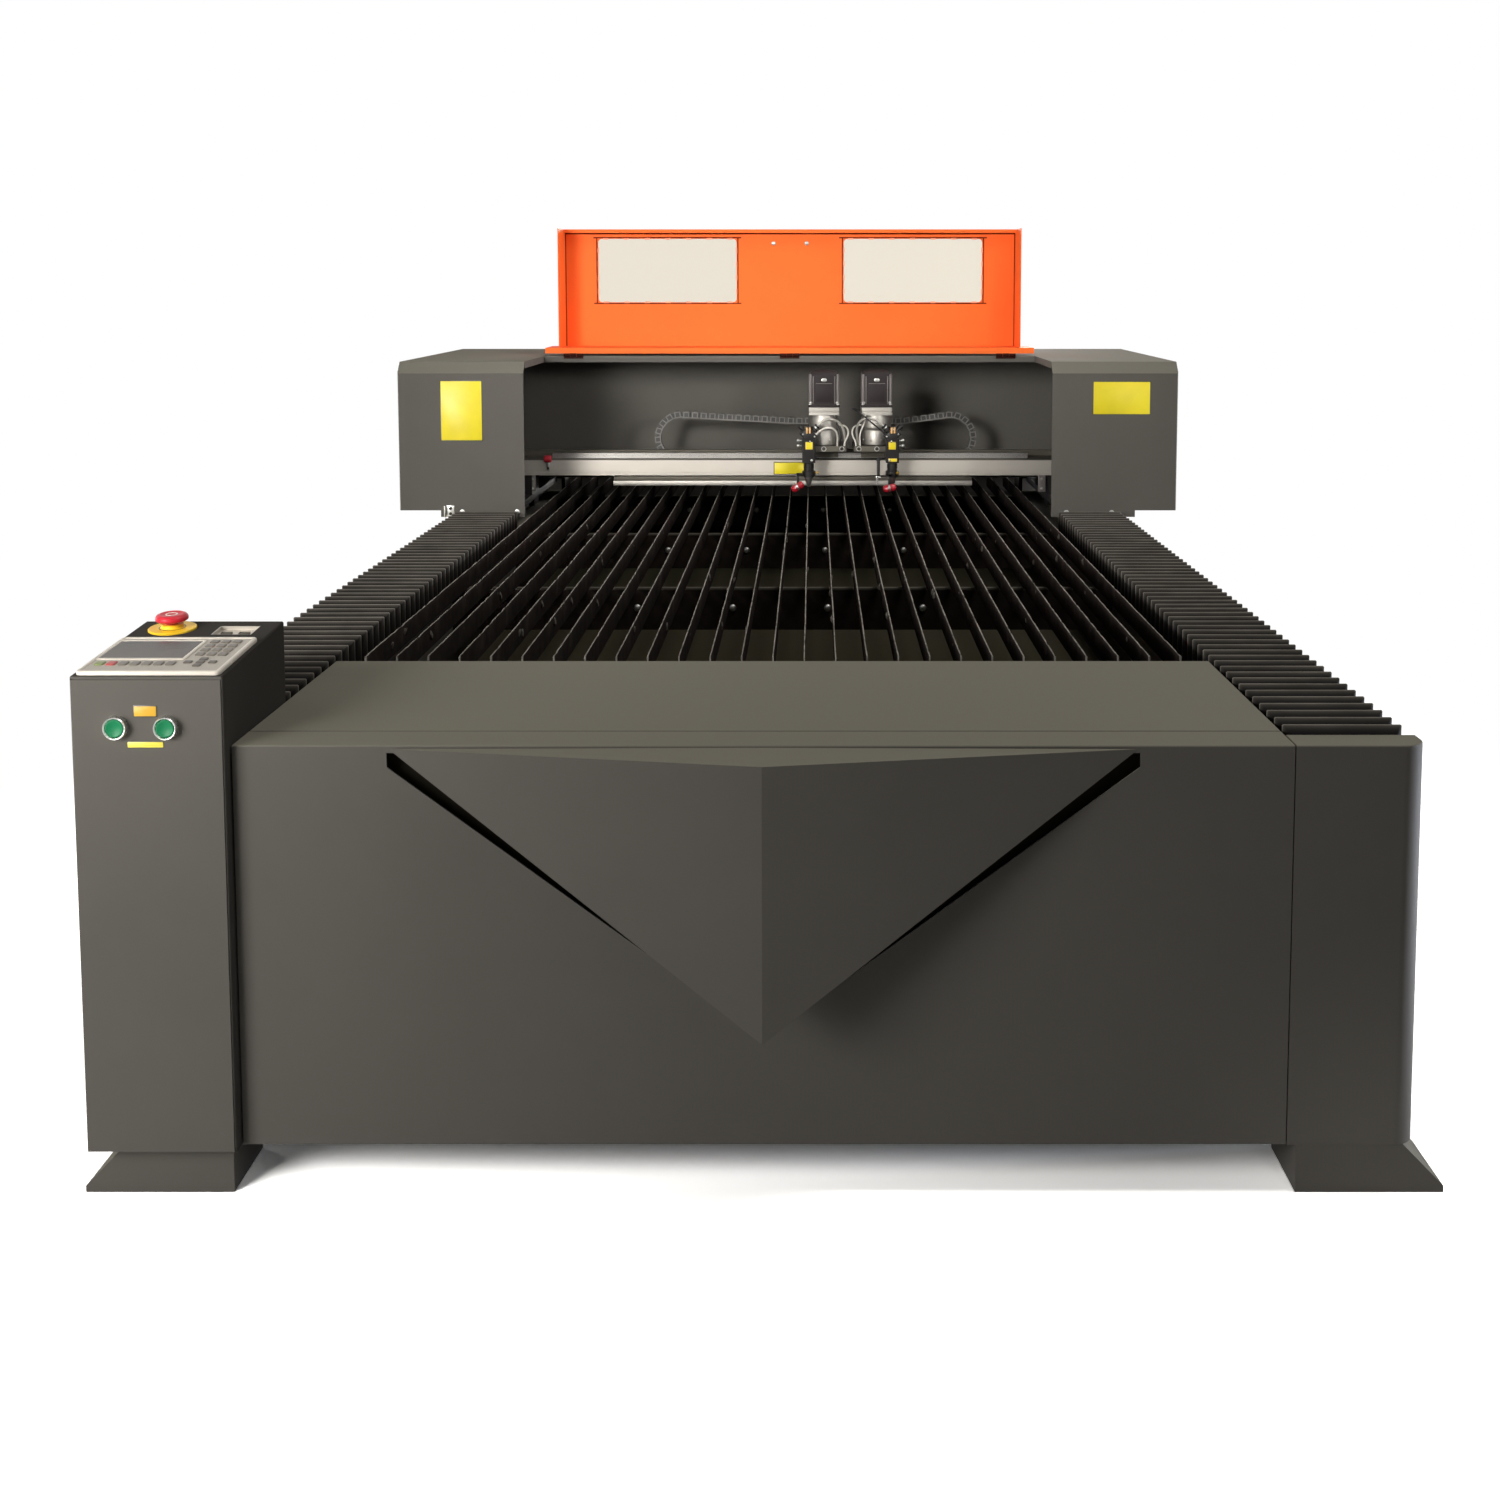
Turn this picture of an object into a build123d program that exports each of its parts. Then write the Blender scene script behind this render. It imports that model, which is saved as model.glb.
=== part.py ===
from build123d import *
import os
from math import atan2, degrees, radians, tan

# Driving dimensions, in millimetres.
# X runs to the right, Z up from the floor, and Y back from the face of the front panel.
SHEET = 3.0                 # folded sheet steel
BEND = 3.0                  # outside radius of a fold
TABLE_Z = 679.0             # top of the front panel, deck and corner post
SKIRT_Z = 76.0              # lower edge of the panels, on the feet
PANEL_HALF = 771.0          # half width of the front panel and of the bed
BODY_HALF = 966.0           # half width over the side panels
BEAM_TOP = 612.0            # top of the welded side beams
BEAM_BOTTOM = 500.0
PANEL_LIP = 79.0            # depth of the front panel's top fold, where the deck begins
SEAM_HALF = 1.5             # half width of the shadow gap between panel and deck
DECK_BACK = 545.0
POST_BACK = 60.0
REAR_Y = 3500.0             # rear panel
Y_FRONT = -98.0             # ridge of the fascia
Y_END = 3560.0              # ends of the exhaust spigots
Y_MID = (Y_FRONT + Y_END) / 2

# Fascia: two triangles folded along an upright ridge, over a V-shaped opening in the panel
FASCIA_HALF = 544.0
FASCIA_TIP_Z = 674.0
FASCIA_TOP_Z = 676.0
FASCIA_LOW_Z = 275.0
FASCIA_SHEET = 4.0
SLOT_HALF = 547.0
SLOT_TOP_Z = 668.0
SLOT_SIDE_Z = 647.0
SLOT_LOW_Z = 240.0

# Control cabinet, with its sloping console
CAB_X = (-994.0, -774.0)
CAB_Y = (-20.0, 265.0)
CAB_Z = (786.0, 808.0)      # top at the front and at the back
CAB_WALL = 4.0
DOOR_GAP = 1.8              # shadow gap around the front door
CAB_MID = sum(CAB_X) / 2
SLOPE = degrees(atan2(CAB_Z[1] - CAB_Z[0], CAB_Y[1] - CAB_Y[0]))
BUTTON_X = (-928.0, -855.5)
BUTTON_Z = 712.0
BUTTON_R = 13.0
BUTTON_HOLE_R = 13.4
BUTTON_RING_R = 17.0
BUTTON_RING = 12.0          # how far a ring stands out
BUTTON_PROUD = 10.5         # how far a button's face stands out
BEZEL = (208.0, 174.0, 6.0)
BEZEL_V = 91.0              # centre of the bezel along the slope
LCD_U = (-96.0, 27.0)
LCD_V = (70.0, 156.0)
PAD_KEY = (13.0, 13.0)
ROW_KEY = (13.0, 16.0)
ARROW_KEY = (12.0, 11.0)
ARROW_UV = (60.0, 52.0)
KEY_HIGH = 1.2
ESTOP_UV = (-51.0, 240.0)
ESTOP_DISC_R = 36.5
ESTOP_NECK_R = 17.0
ESTOP_NECK = 9.0
ESTOP_CAP = 11.0            # height of the mushroom cap
ESTOP_TRAVEL_GAP = 5.0      # clear height under the cap
ESTOP_STEM_R = 9.0
ESTOP_CAP_R = 25.0
PORT_U = (19.0, 82.0)
PORT_V = (210.0, 257.0)
PORT_DEEP = 8.0

# Bed
BLADES = 27
BLADE_PITCH = 56.4
BLADE_THICK = 4.0
BLADE_Z = (634.0, 677.0)
BLADE_Y = (590.0, 3440.0)
MEMBER_Y = (660.0, 1500.0, 2340.0, 3180.0)
MEMBER_Z = (534.0, 634.0)
MEMBER_THICK = 8.0
MEMBER_FOLD = 40.0
BOLT_X = tuple(-116.0 + 222.0 * n for n in range(-2, 4))
BOLT_Z = 586.0
BOLT_R = 9.0
TRAY_Z = 430.0
TRAY_TOP = 520.0            # held between the side beams
TRAY_BACK = 3380.0          # fumes pass down behind the tray to the spigots
FOOT_DEPTH = 130.0
FOOT_Y = (5.0, 1735.0, 3365.0)
FOOT_X = (788.0, 1009.0)
FOOT_TOP_X = 945.0
FOOT_EDGE = 10.0
LEG = 80.0
LEG_X = 800.0

# Y axis: guide rails and racks on the side beams, under the way covers
RAIL_X = 862.5
RAIL_SIZE = (23.0, 22.0)
RACK_X = (915.0, 935.0)
RACK_TOP = 660.0
WAY_Y = {-1: (290.0, 3455.0), 1: (90.0, 3455.0)}
COVER_X = (775.0, 952.0)
COVER_Z = (613.0, 687.0)
COVER_WALL = 11.0
COVER_Y = {-1: (266.0, 2416.0), 1: (61.0, 2416.0)}
REAR_COVER_Y = (3331.0, 3458.0)
SPIGOT_X = 400.0
SPIGOT_Z = 250.0
SPIGOT_R = 75.0
SPIGOT_WALL = 1.5

# Gantry
GANTRY_Y = (2417.0, 3330.0)
HOUSING_X = (756.0, 1115.0)
HOUSING_Z = (689.0, 1115.0)
HOUSING_CHAMFER = 32.0
NOTCH_Y = 2802.0            # front edge of the top cover, between the housings
NOTCH_FLANGE = 19.0
TAB_X = 997.0
TAB_Z = 670.0
REAR_WALL_Z = 700.0         # lower edge of the rear wall, over a sheet on the bed
WALL_Y = 3130.0
BEAM_X = 905.0
BEAM_Y = (2806.0, 2946.0)
BEAM_Z = (745.0, 794.0)
BEAM_UPSTAND = (16.0, 18.0)  # thickness and height of the fold along the beam's back edge
SHELF_Z = 763.0             # shelf behind the beam, under the chains
X_RAIL_Y = 2860.0
X_RAIL_SIZE = (20.0, 16.0)
X_RAIL_HALF = 742.0
LOWER_BAR_X = (-549.0, 567.0)
LOWER_BAR_Y = (2822.0, 2850.0)
LOWER_BAR_Z = (711.0, 739.0)
PLATE_X = (800.0, 905.0)
PLATE_Z = (664.0, 684.0)
PLATE_Y = (2424.0, 3322.0)
SHAFT_Y = 3200.0
SHAFT_R = 12.5
PINION_R = 45.0
PINION_X = (916.0, 934.0)
RUN_GAP = 0.3               # clearance between bodies that pass each other
SHAFT_Z = RACK_TOP + PINION_R + RUN_GAP
TUBE_R = 40.0
TUBE_HALF = 800.0
TUBE_Y = 3230.0
TUBE_Z = (900.0, 1010.0)

# Hood, flipped up: its roof lies over the top cover and its window panel stands upright
HINGE_Y = 2797.0
HINGE_Z = 1118.0
HINGE_X = (-665.0, 0.0, 665.0)
HINGE_HALF = 30.0
KNUCKLE_HALF = 9.7
KNUCKLE_R = 5.0
PIN_R = 2.5
PIN_GAP = 0.05
HOOD_SHEET = 2.0
HOOD_HALF = 710.0
HOOD_TOP = 1506.0
HOOD_Y = (2800.0, 2950.0)
ROOF_HALF = 752.0
ROOF_Z = 1140.0
HOOD_LIP = (30.0, 11.0)     # fold along the hood's free edge: depth and return
WINDOW_X = (169.0, 604.0)
WINDOW_Z = (1278.0, 1477.0)
WINDOW_R = 12.0
PANE_EDGE = 10.0
PANE = 3.0

# Heads: the left one as drawn, the right one mirrored
HEADS_MIRROR_X = 186.0
MOTOR_X = 105.5
MOTOR_Y = 2788.0
MOTOR_W = 96.0
MOTOR_Z = (961.0, 1075.0)
MODULE_R = 46.0
MODULE_CAP = 24.0
CARRIAGE_Z = (826.0, 842.0)
CARRIAGE_X = (35.5, 175.5)
CARRIAGE_Y = (2738.0, 2900.0)
COLUMN_X = 59.0
COLUMN_W = 40.0
COLUMN_Y = 2717.0
COLUMN_Z = (795.0, 868.0)
MIRROR_Z = 879.0
LENS_R = 16.0
LENS_BORE_GAP = 0.05
LENS_BORE = 90.0            # length of the bore's cutter, centred on the block's lower face
NOZZLE_Z = (721.0, 750.0)
POINTER_Z = 720.0
POINTER_R = 11.5
POINTER_LONG = 40.0
POINTER_ARM_Z = (754.0, 762.0)
CHAIN_Y = 2962.0            # behind the beam
CHAIN_POST_X = (40.5, 56.5)
CHAIN_LOOP_X = (-431.0, 591.0)
CHAIN_FOOT_X = (-180.0, 470.0)
CHAIN_SECTION = (20.0, 30.0)
CHAIN_LOW_Z = 775.0         # lower run, on the shelf
CHAIN_TOP_Z = 922.0
CHAIN_END_Z = 902.0
GLAND = (9.0, 22.0)         # radius and length of the cable gland on the mirror block
CABLE_R = 3.5
LEFT_CABLE_ROUTE = ((86.58, 2717, 906.58), (101, 2717, 921), (124, 2718, 928), (147, 2725, 921),
                    (162, 2737, 902), (169, 2752, 873.5), (169, 2760, 842.9))
RIGHT_CABLE_ROUTE = ((285.42, 2717, 906.58), (271, 2717, 921), (248, 2714, 930), (224, 2716, 928),
                     (209, 2727, 913), (204, 2742, 890), (208, 2756, 866), (210, 2762, 842.9))
LEAD_R = 3.0
LEFT_LEAD_ROUTE = ((81, 2709, 881.2), (92, 2709, 892.2), (110, 2708, 901), (129, 2712, 901),
                   (142, 2720, 891), (147, 2731, 875), (147, 2742, 858), (146, 2748, 843.2))
RIGHT_LEAD_ROUTE = ((217.8, 2768, 950.1), (205, 2768, 953), (194, 2757, 957), (192, 2741, 958),
                    (201, 2725, 954), (217, 2713, 944), (234, 2705, 931), (250, 2702, 917.5),
                    (266, 2703, 904), (279.5, 2706, 892.5), (290.8, 2708, 881.3))
WIRE_R = 2.5
SIDE_WIRE_ROUTE = ((151.8, 2786, 903), (164, 2786, 903), (176, 2779, 897), (181, 2767, 883), (177, 2755, 868),
                   (169.5, 2748, 856), (168, 2747, 842.4))
CAP_WIRE_ROUTE = ((141, 2747, 936.9), (141, 2747, 923), (146, 2740, 907), (154, 2733, 890), (158, 2734, 872),
                  (156, 2741, 857), (156, 2742, 842.3))

os.makedirs("parts", exist_ok=True)


def block(x, y, z):
    """A box from its ranges along X, Y and Z."""
    size = [r[1] - r[0] for r in (x, y, z)]
    return Pos(x[0], y[0], z[0]) * Box(*size, align=(Align.MIN, Align.MIN, Align.MIN))


def sides(x, side):
    """An X range on the right (side 1) or mirrored to the left (side -1)."""
    return x if side > 0 else (-x[1], -x[0])


def rod(axis, centre, radius, length):
    """A cylinder about X, Y or Z, centred on a point."""
    turn = {"x": Rot(0, 90, 0), "y": Rot(90, 0, 0), "z": Rot(0, 0, 0)}[axis]
    return Pos(*centre) * turn * Cylinder(radius, length)


def prism(points, direction, depth):
    """A flat outline of 3-D points, extruded along a direction."""
    face = make_face(Polyline(*points, close=True))
    return extrude(face, amount=depth, dir=direction)


def group(solids):
    """Separate solids that share one node."""
    return Compound(children=list(solids))


def mirrored(shape):
    """The right-hand twin of a piece of the left head."""
    return Pos(HEADS_MIRROR_X, 0, 0) * mirror(Pos(-HEADS_MIRROR_X, 0, 0) * shape, about=Plane.YZ)


def on_console(shape):
    """Place a shape drawn on the console: u across, v up the slope, w out of it."""
    return Pos(CAB_MID, CAB_Y[0], CAB_Z[0]) * Rot(SLOPE, 0, 0) * shape


def save(name, shape):
    solids = [Pos(0, -Y_MID, 0) * solid for solid in shape.solids()]
    export_step(Compound(solids), f"parts/{name}.step")


def front_panel():
    full = (-PANEL_HALF, PANEL_HALF)
    panel = block(full, (0, SHEET), (SKIRT_Z, TABLE_Z))
    panel += block(full, (0, PANEL_LIP - SEAM_HALF), (TABLE_Z - SHEET, TABLE_Z))
    panel += block(full, (0, 10 * SHEET), (SKIRT_Z, SKIRT_Z + SHEET))
    front = panel.edges().filter_by(Axis.X).group_by(Axis.Y)[0]
    panel = fillet(front, BEND - 0.4)
    corners = ((-SLOT_HALF, -1, SLOT_TOP_Z), (SLOT_HALF, -1, SLOT_TOP_Z), (SLOT_HALF, -1, SLOT_SIDE_Z),
               (0, -1, SLOT_LOW_Z), (-SLOT_HALF, -1, SLOT_SIDE_Z))
    return panel - prism(corners, (0, 1, 0), SHEET + 2)


def fascia():
    left, right = (-FASCIA_HALF, 0, FASCIA_TIP_Z), (FASCIA_HALF, 0, FASCIA_TIP_Z)
    top, low = (0, Y_FRONT, FASCIA_TOP_Z), (0, Y_FRONT, FASCIA_LOW_Z)
    back, under = (0, 0, FASCIA_TOP_Z), (0, 0, FASCIA_LOW_Z)
    outlines = ((left, low, top), (right, top, low), (left, top, back), (right, back, top),
                (left, back, right, under), (left, under, low), (right, low, under))
    wedge = Solid(Shell([make_face(Polyline(*points, close=True)) for points in outlines]))
    return wedge - Pos(0, FASCIA_SHEET, -FASCIA_SHEET) * wedge


def front_deck():
    full = (-PANEL_HALF, PANEL_HALF)
    seam = PANEL_LIP + SEAM_HALF
    deck = block(full, (seam, DECK_BACK), (TABLE_Z - SHEET, TABLE_Z))
    deck += block(full, (DECK_BACK - SHEET, DECK_BACK), (TABLE_Z - 13 * SHEET, TABLE_Z))
    deck = fillet(deck.edges().filter_by(Axis.X).group_by(Axis.Y)[-1].group_by(Axis.Z)[-1], BEND - 0.4)
    deck += block(full, (seam - 6 * SHEET, seam + 6 * SHEET), (TABLE_Z - 2 * SHEET, TABLE_Z - SHEET))
    for side in (-1, 1):
        flange = sides((PANEL_HALF - SHEET, PANEL_HALF), side)
        deck += block(flange, (seam, DECK_BACK), (BEAM_TOP - 6 * SHEET, TABLE_Z - SHEET))
    return deck


def control_cabinet():
    x, y, z = CAB_X, CAB_Y, CAB_Z
    outer = ((x[0], y[0], SKIRT_Z), (x[0], y[1], SKIRT_Z), (x[0], y[1], z[1]), (x[0], y[0], z[0]))
    shell = prism(outer, (1, 0, 0), x[1] - x[0])
    upright = shell.edges().filter_by(Axis.Z)
    shell = fillet(upright, BEND)
    shell = fillet(shell.faces().sort_by(Axis.Z)[-1].outer_wire().edges(), BEND)
    inside = block((x[0] + CAB_WALL, x[1] - CAB_WALL), (y[0] + CAB_WALL, y[1] - CAB_WALL),
                   (SKIRT_Z - 1, z[0] - CAB_WALL))
    shell -= inside
    door_gap = (y[0] - 1, y[0] + DOOR_GAP)
    shell -= block((x[1] - 2 * DOOR_GAP, x[1] - DOOR_GAP), door_gap, (SKIRT_Z - 1, z[0] - 3 * DOOR_GAP))
    shell -= block((x[0] + DOOR_GAP, x[1] - DOOR_GAP), door_gap, (z[0] - 3 * DOOR_GAP, z[0] - 2 * DOOR_GAP))
    for button_x in BUTTON_X:
        shell -= rod("y", (button_x, y[0], BUTTON_Z), BUTTON_HOLE_R, 40)
    shell -= on_console(rod("z", (*ESTOP_UV, 0), ESTOP_STEM_R + RUN_GAP, 80))
    return shell - on_console(block(PORT_U, PORT_V, (-PORT_DEEP, 1)))


def console_bezel():
    half_u, half_v = BEZEL[0] / 2, BEZEL[1] / 2
    bezel = block((-half_u, half_u), (BEZEL_V - half_v, BEZEL_V + half_v), (0, BEZEL[2]))
    bezel = fillet(bezel.edges().filter_by(Axis.Z), 8)
    bezel = fillet(bezel.faces().sort_by(Axis.Z)[-1].outer_wire().edges(), 2)
    bezel -= block(LCD_U, LCD_V, (BEZEL[2] - 2, BEZEL[2] + 1))
    return on_console(bezel)


def lcd_glass():
    return on_console(block(LCD_U, LCD_V, (BEZEL[2] - 2, BEZEL[2] - 0.6)))


def key(u, v, width, depth):
    cap = block((u - width / 2, u + width / 2), (v - depth / 2, v + depth / 2), (BEZEL[2], BEZEL[2] + KEY_HIGH))
    return on_console(fillet(cap.edges().filter_by(Axis.Z), 2))


def keypad_keys():
    pad = [key(46 + 17 * column, 91 + 21 * row, *PAD_KEY) for row in range(4) for column in range(3)]
    row = [key(-84 + 17.2 * n, 45, *ROW_KEY) for n in range(7)]
    around = ((-18, 0), (18, 0), (0, 0), (0, 15), (0, -15))
    arrows = [key(ARROW_UV[0] + du, ARROW_UV[1] + dv, *ARROW_KEY) for du, dv in around]
    return group(pad + row + arrows)


def port_panel():
    wall = 1.5
    u = (PORT_U[0] + 0.2, PORT_U[1] - 0.2)
    v = (PORT_V[0] + 0.2, PORT_V[1] - 0.2)
    pan = block(u, v, (-PORT_DEEP, -0.3))
    pan -= block((u[0] + wall, u[1] - wall), (v[0] + wall, v[1] - wall), (wall - PORT_DEEP, 1))
    return on_console(pan)


def estop_collar():
    disc = rod("z", (*ESTOP_UV, 1.5), ESTOP_DISC_R, 3)
    neck = rod("z", (*ESTOP_UV, ESTOP_NECK / 2), ESTOP_NECK_R, ESTOP_NECK)
    return on_console(disc + neck - rod("z", (*ESTOP_UV, 0), ESTOP_STEM_R + RUN_GAP, 80))


def estop_button():
    low = ESTOP_NECK + ESTOP_TRAVEL_GAP
    stem = rod("z", (*ESTOP_UV, low - 15), ESTOP_STEM_R, 30)
    cap = rod("z", (*ESTOP_UV, low + ESTOP_CAP / 2), ESTOP_CAP_R, ESTOP_CAP)
    cap = fillet(cap.edges().group_by(Axis.Z)[-1], 6)
    return on_console(stem + cap)


def button_bezels():
    rings = []
    for x in BUTTON_X:
        ring = rod("y", (x, CAB_Y[0] - BUTTON_RING / 2, BUTTON_Z), BUTTON_RING_R, BUTTON_RING)
        ring = fillet(ring.edges().group_by(Axis.Y)[0], 2.5)
        rings.append(ring - rod("y", (x, CAB_Y[0], BUTTON_Z), BUTTON_HOLE_R, 40))
    return group(rings)


def start_button(x):
    length = BUTTON_PROUD + 20
    button = rod("y", (x, CAB_Y[0] - BUTTON_PROUD + length / 2, BUTTON_Z), BUTTON_R, length)
    return fillet(button.edges().group_by(Axis.Y)[0], 1.2)


def right_post():
    x = (PANEL_HALF + 2, BODY_HALF)
    post = block(x, (0, POST_BACK), (SKIRT_Z, TABLE_Z))
    corner = post.edges().filter_by(Axis.Z).group_by(Axis.Y)[0].sort_by(Axis.X)[-1]
    post = fillet(corner, 35)
    post = fillet(post.faces().sort_by(Axis.Z)[-1].outer_wire().edges(), BEND - 0.5)
    inner = block((x[0] + SHEET, x[1] - SHEET), (SHEET, POST_BACK + 1), (SKIRT_Z - 1, TABLE_Z - SHEET))
    inner = fillet(inner.edges().filter_by(Axis.Z).group_by(Axis.Y)[0].sort_by(Axis.X)[-1], 32)
    return post - inner


def side_beams():
    wall = 8.0
    beams = []
    for side, front in ((-1, CAB_Y[1]), (1, POST_BACK)):
        x = sides((PANEL_HALF, BODY_HALF - 10), side)
        beam = block(x, (front, REAR_Y), (BEAM_BOTTOM, BEAM_TOP))
        hollow = block((x[0] + wall, x[1] - wall), (front - 1, REAR_Y + 1), (BEAM_BOTTOM + wall, BEAM_TOP - wall))
        beams.append(beam - hollow)
    return group(beams)


def side_panels():
    panels = []
    for side, front in ((-1, CAB_Y[1]), (1, POST_BACK)):
        outer = sides((BODY_HALF - SHEET, BODY_HALF), side)
        fold = sides((BODY_HALF - 10, BODY_HALF), side)
        panel = block(outer, (front + 1, REAR_Y), (SKIRT_Z, BEAM_TOP))
        panel += block(fold, (front + 1, REAR_Y), (BEAM_TOP - SHEET, BEAM_TOP))
        panels.append(panel)
    return group(panels)


def rear_panel():
    full = (-BODY_HALF, BODY_HALF)
    panel = block(full, (REAR_Y, REAR_Y + SHEET), (SKIRT_Z, TABLE_Z))
    panel += block(full, (REAR_Y - 40, REAR_Y + SHEET), (TABLE_Z - SHEET, TABLE_Z))
    for side in (-1, 1):
        panel -= rod("y", (side * SPIGOT_X, REAR_Y, SPIGOT_Z), SPIGOT_R - SPIGOT_WALL, 40)
    return panel


def legs():
    places = [(1, FOOT_Y[0] + POST_BACK)] + [(side, y + 25) for side in (-1, 1) for y in FOOT_Y[1:]]
    tubes = []
    for side, y in places:
        x = sides((LEG_X, LEG_X + LEG), side)
        tube = block(x, (y, y + LEG), (SKIRT_Z, BEAM_BOTTOM))
        tubes.append(tube - block((x[0] + 4, x[1] - 4), (y + 4, y + LEG - 4), (SKIRT_Z - 1, BEAM_BOTTOM + 1)))
    return group(tubes)


def feet():
    pieces = []
    for side in (-1, 1):
        for y in FOOT_Y:
            outline = ((FOOT_X[0], 0), (FOOT_X[1], 0), (FOOT_X[1], FOOT_EDGE), (FOOT_TOP_X, SKIRT_Z),
                       (FOOT_X[0], SKIRT_Z))
            pieces.append(prism([(side * x, y, z) for x, z in outline], (0, 1, 0), FOOT_DEPTH))
    return group(pieces)


def bed_blades():
    half = BLADE_THICK / 2
    places = [BLADE_PITCH * (n - BLADES // 2) for n in range(BLADES)]
    return group(block((x - half, x + half), BLADE_Y, BLADE_Z) for x in places)


def blade_supports():
    full = (-PANEL_HALF, PANEL_HALF)
    bars = []
    for y in MEMBER_Y:
        bar = block(full, (y, y + MEMBER_THICK), MEMBER_Z)
        bar += block(full, (y, y + MEMBER_FOLD), (MEMBER_Z[0], MEMBER_Z[0] + MEMBER_THICK))
        bars.append(bar)
    return group(bars)


def support_bolts():
    heads = []
    for y in MEMBER_Y:
        for x in BOLT_X:
            head = rod("y", (x, y - 3, BOLT_Z), BOLT_R, 6)
            heads.append(fillet(head.edges().group_by(Axis.Y)[0], 4.5))
    return group(heads)


def slag_tray():
    y = (DECK_BACK - 15, TRAY_BACK)
    x = (-PANEL_HALF, PANEL_HALF)
    tray = block(x, y, (TRAY_Z - SHEET, TRAY_TOP))
    return tray - block((x[0] + SHEET, x[1] - SHEET), (y[0] + SHEET, y[1] - SHEET), (TRAY_Z, TRAY_TOP + 1))


def y_rails():
    half = RAIL_SIZE[0] / 2
    top = BEAM_TOP + RAIL_SIZE[1]
    rails = [block((side * RAIL_X - half, side * RAIL_X + half), WAY_Y[side], (BEAM_TOP, top)) for side in (-1, 1)]
    return group(rails)


def y_racks():
    return group(block(sides(RACK_X, side), WAY_Y[side], (BEAM_TOP, RACK_TOP)) for side in (-1, 1))


def way_cover(side, y):
    cover = block(sides(COVER_X, side), y, COVER_Z)
    inner = sides((COVER_X[0] + COVER_WALL, COVER_X[1] - COVER_WALL), side)
    return cover - block(inner, (y[0] - 1, y[1] + 1), (COVER_Z[0] - 1, COVER_Z[1] - COVER_WALL))


def exhaust_spigots():
    pipes = []
    for side in (-1, 1):
        y = (REAR_Y + SHEET, Y_END)
        place = (side * SPIGOT_X, sum(y) / 2, SPIGOT_Z)
        pipe = rod("y", place, SPIGOT_R, y[1] - y[0])
        pipe += rod("y", (place[0], y[0] + SHEET / 2, SPIGOT_Z), SPIGOT_R + 20, SHEET)
        pipes.append(pipe - rod("y", place, SPIGOT_R - SPIGOT_WALL, 2 * Y_END))
    return group(pipes)


def housing(side):
    x, y, z = HOUSING_X, GANTRY_Y, HOUSING_Z
    shell = block(x, y, z)
    shell = chamfer(shell.edges().filter_by(Axis.X).group_by(Axis.Y)[0].sort_by(Axis.Z)[-1], HOUSING_CHAMFER)
    shell = fillet(shell.edges().filter_by(Axis.Z).group_by(Axis.X)[-1], BEND + 1)
    inside = block((x[0] - 1, x[1] - SHEET), (y[0] + SHEET, y[1] - SHEET), (z[0] - 1, z[1] - SHEET))
    inner_chamfer = HOUSING_CHAMFER - SHEET / 2
    inside = chamfer(inside.edges().filter_by(Axis.X).group_by(Axis.Y)[0].sort_by(Axis.Z)[-1], inner_chamfer)
    shell -= inside
    edge = block((x[0], x[0] + SHEET), (y[0] + HOUSING_CHAMFER, NOTCH_Y), (z[1] - NOTCH_FLANGE, z[1] - SHEET))
    shell += edge
    shell += block((x[0], TAB_X), (y[0], y[0] + SHEET), (TAB_Z, z[0]))
    return shell if side > 0 else mirror(shell, about=Plane.YZ)


def top_cover():
    full = (1 - HOUSING_X[0], HOUSING_X[0] - 1)
    top, back = HOUSING_Z[1], GANTRY_Y[1]
    cover = block(full, (NOTCH_Y, back), (top - SHEET, top))
    cover += block(full, (NOTCH_Y, NOTCH_Y + SHEET), (top - NOTCH_FLANGE, top))
    cover += block(full, (back - SHEET, back), (REAR_WALL_Z, top))
    return fillet(cover.edges().filter_by(Axis.X).group_by(Axis.Z)[-1], BEND - 0.4)


def alcove_wall():
    wide = HOUSING_X[1] - 2 * SHEET
    wall = block((-wide, wide), (WALL_Y, WALL_Y + HOOD_SHEET), (SHELF_Z - SHEET, HOUSING_Z[1] - SHEET))
    wall += block((-BEAM_X, BEAM_X), (BEAM_Y[1], WALL_Y), (SHELF_Z - SHEET, SHELF_Z))
    return wall


def cross_beam():
    wall = 6.0
    full = (-BEAM_X, BEAM_X)
    beam = fillet(block(full, BEAM_Y, BEAM_Z).edges().filter_by(Axis.X), 1.5)
    middle = sum(BEAM_Y) / 2
    for y in ((BEAM_Y[0] + wall, middle - wall / 2), (middle + wall / 2, BEAM_Y[1] - wall)):
        beam -= block((-BEAM_X - 1, BEAM_X + 1), y, (BEAM_Z[0] + wall, BEAM_Z[1] - wall))
    back = BEAM_Y[1] - 1.5
    return beam + block(full, (back - BEAM_UPSTAND[0], back), (BEAM_Z[1] - wall, BEAM_Z[1] + BEAM_UPSTAND[1]))


def x_rail():
    half = X_RAIL_SIZE[0] / 2
    return block((-X_RAIL_HALF, X_RAIL_HALF), (X_RAIL_Y - half, X_RAIL_Y + half),
                 (BEAM_Z[1], BEAM_Z[1] + X_RAIL_SIZE[1]))


def lower_bar():
    bar = block(LOWER_BAR_X, LOWER_BAR_Y, LOWER_BAR_Z)
    for x in (LOWER_BAR_X[0] + 20, LOWER_BAR_X[1] - 60):
        bar += block((x, x + 40), LOWER_BAR_Y, (LOWER_BAR_Z[0], BEAM_Z[0]))
    return bar


def end_stop():
    bumper = rod("x", (-748, BEAM_Y[0] - 11, 797), 11, 22)
    arm = block((-756, -740), (BEAM_Y[0] - 6, BEAM_Y[0]), (762, 792))
    return bumper + arm


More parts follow.
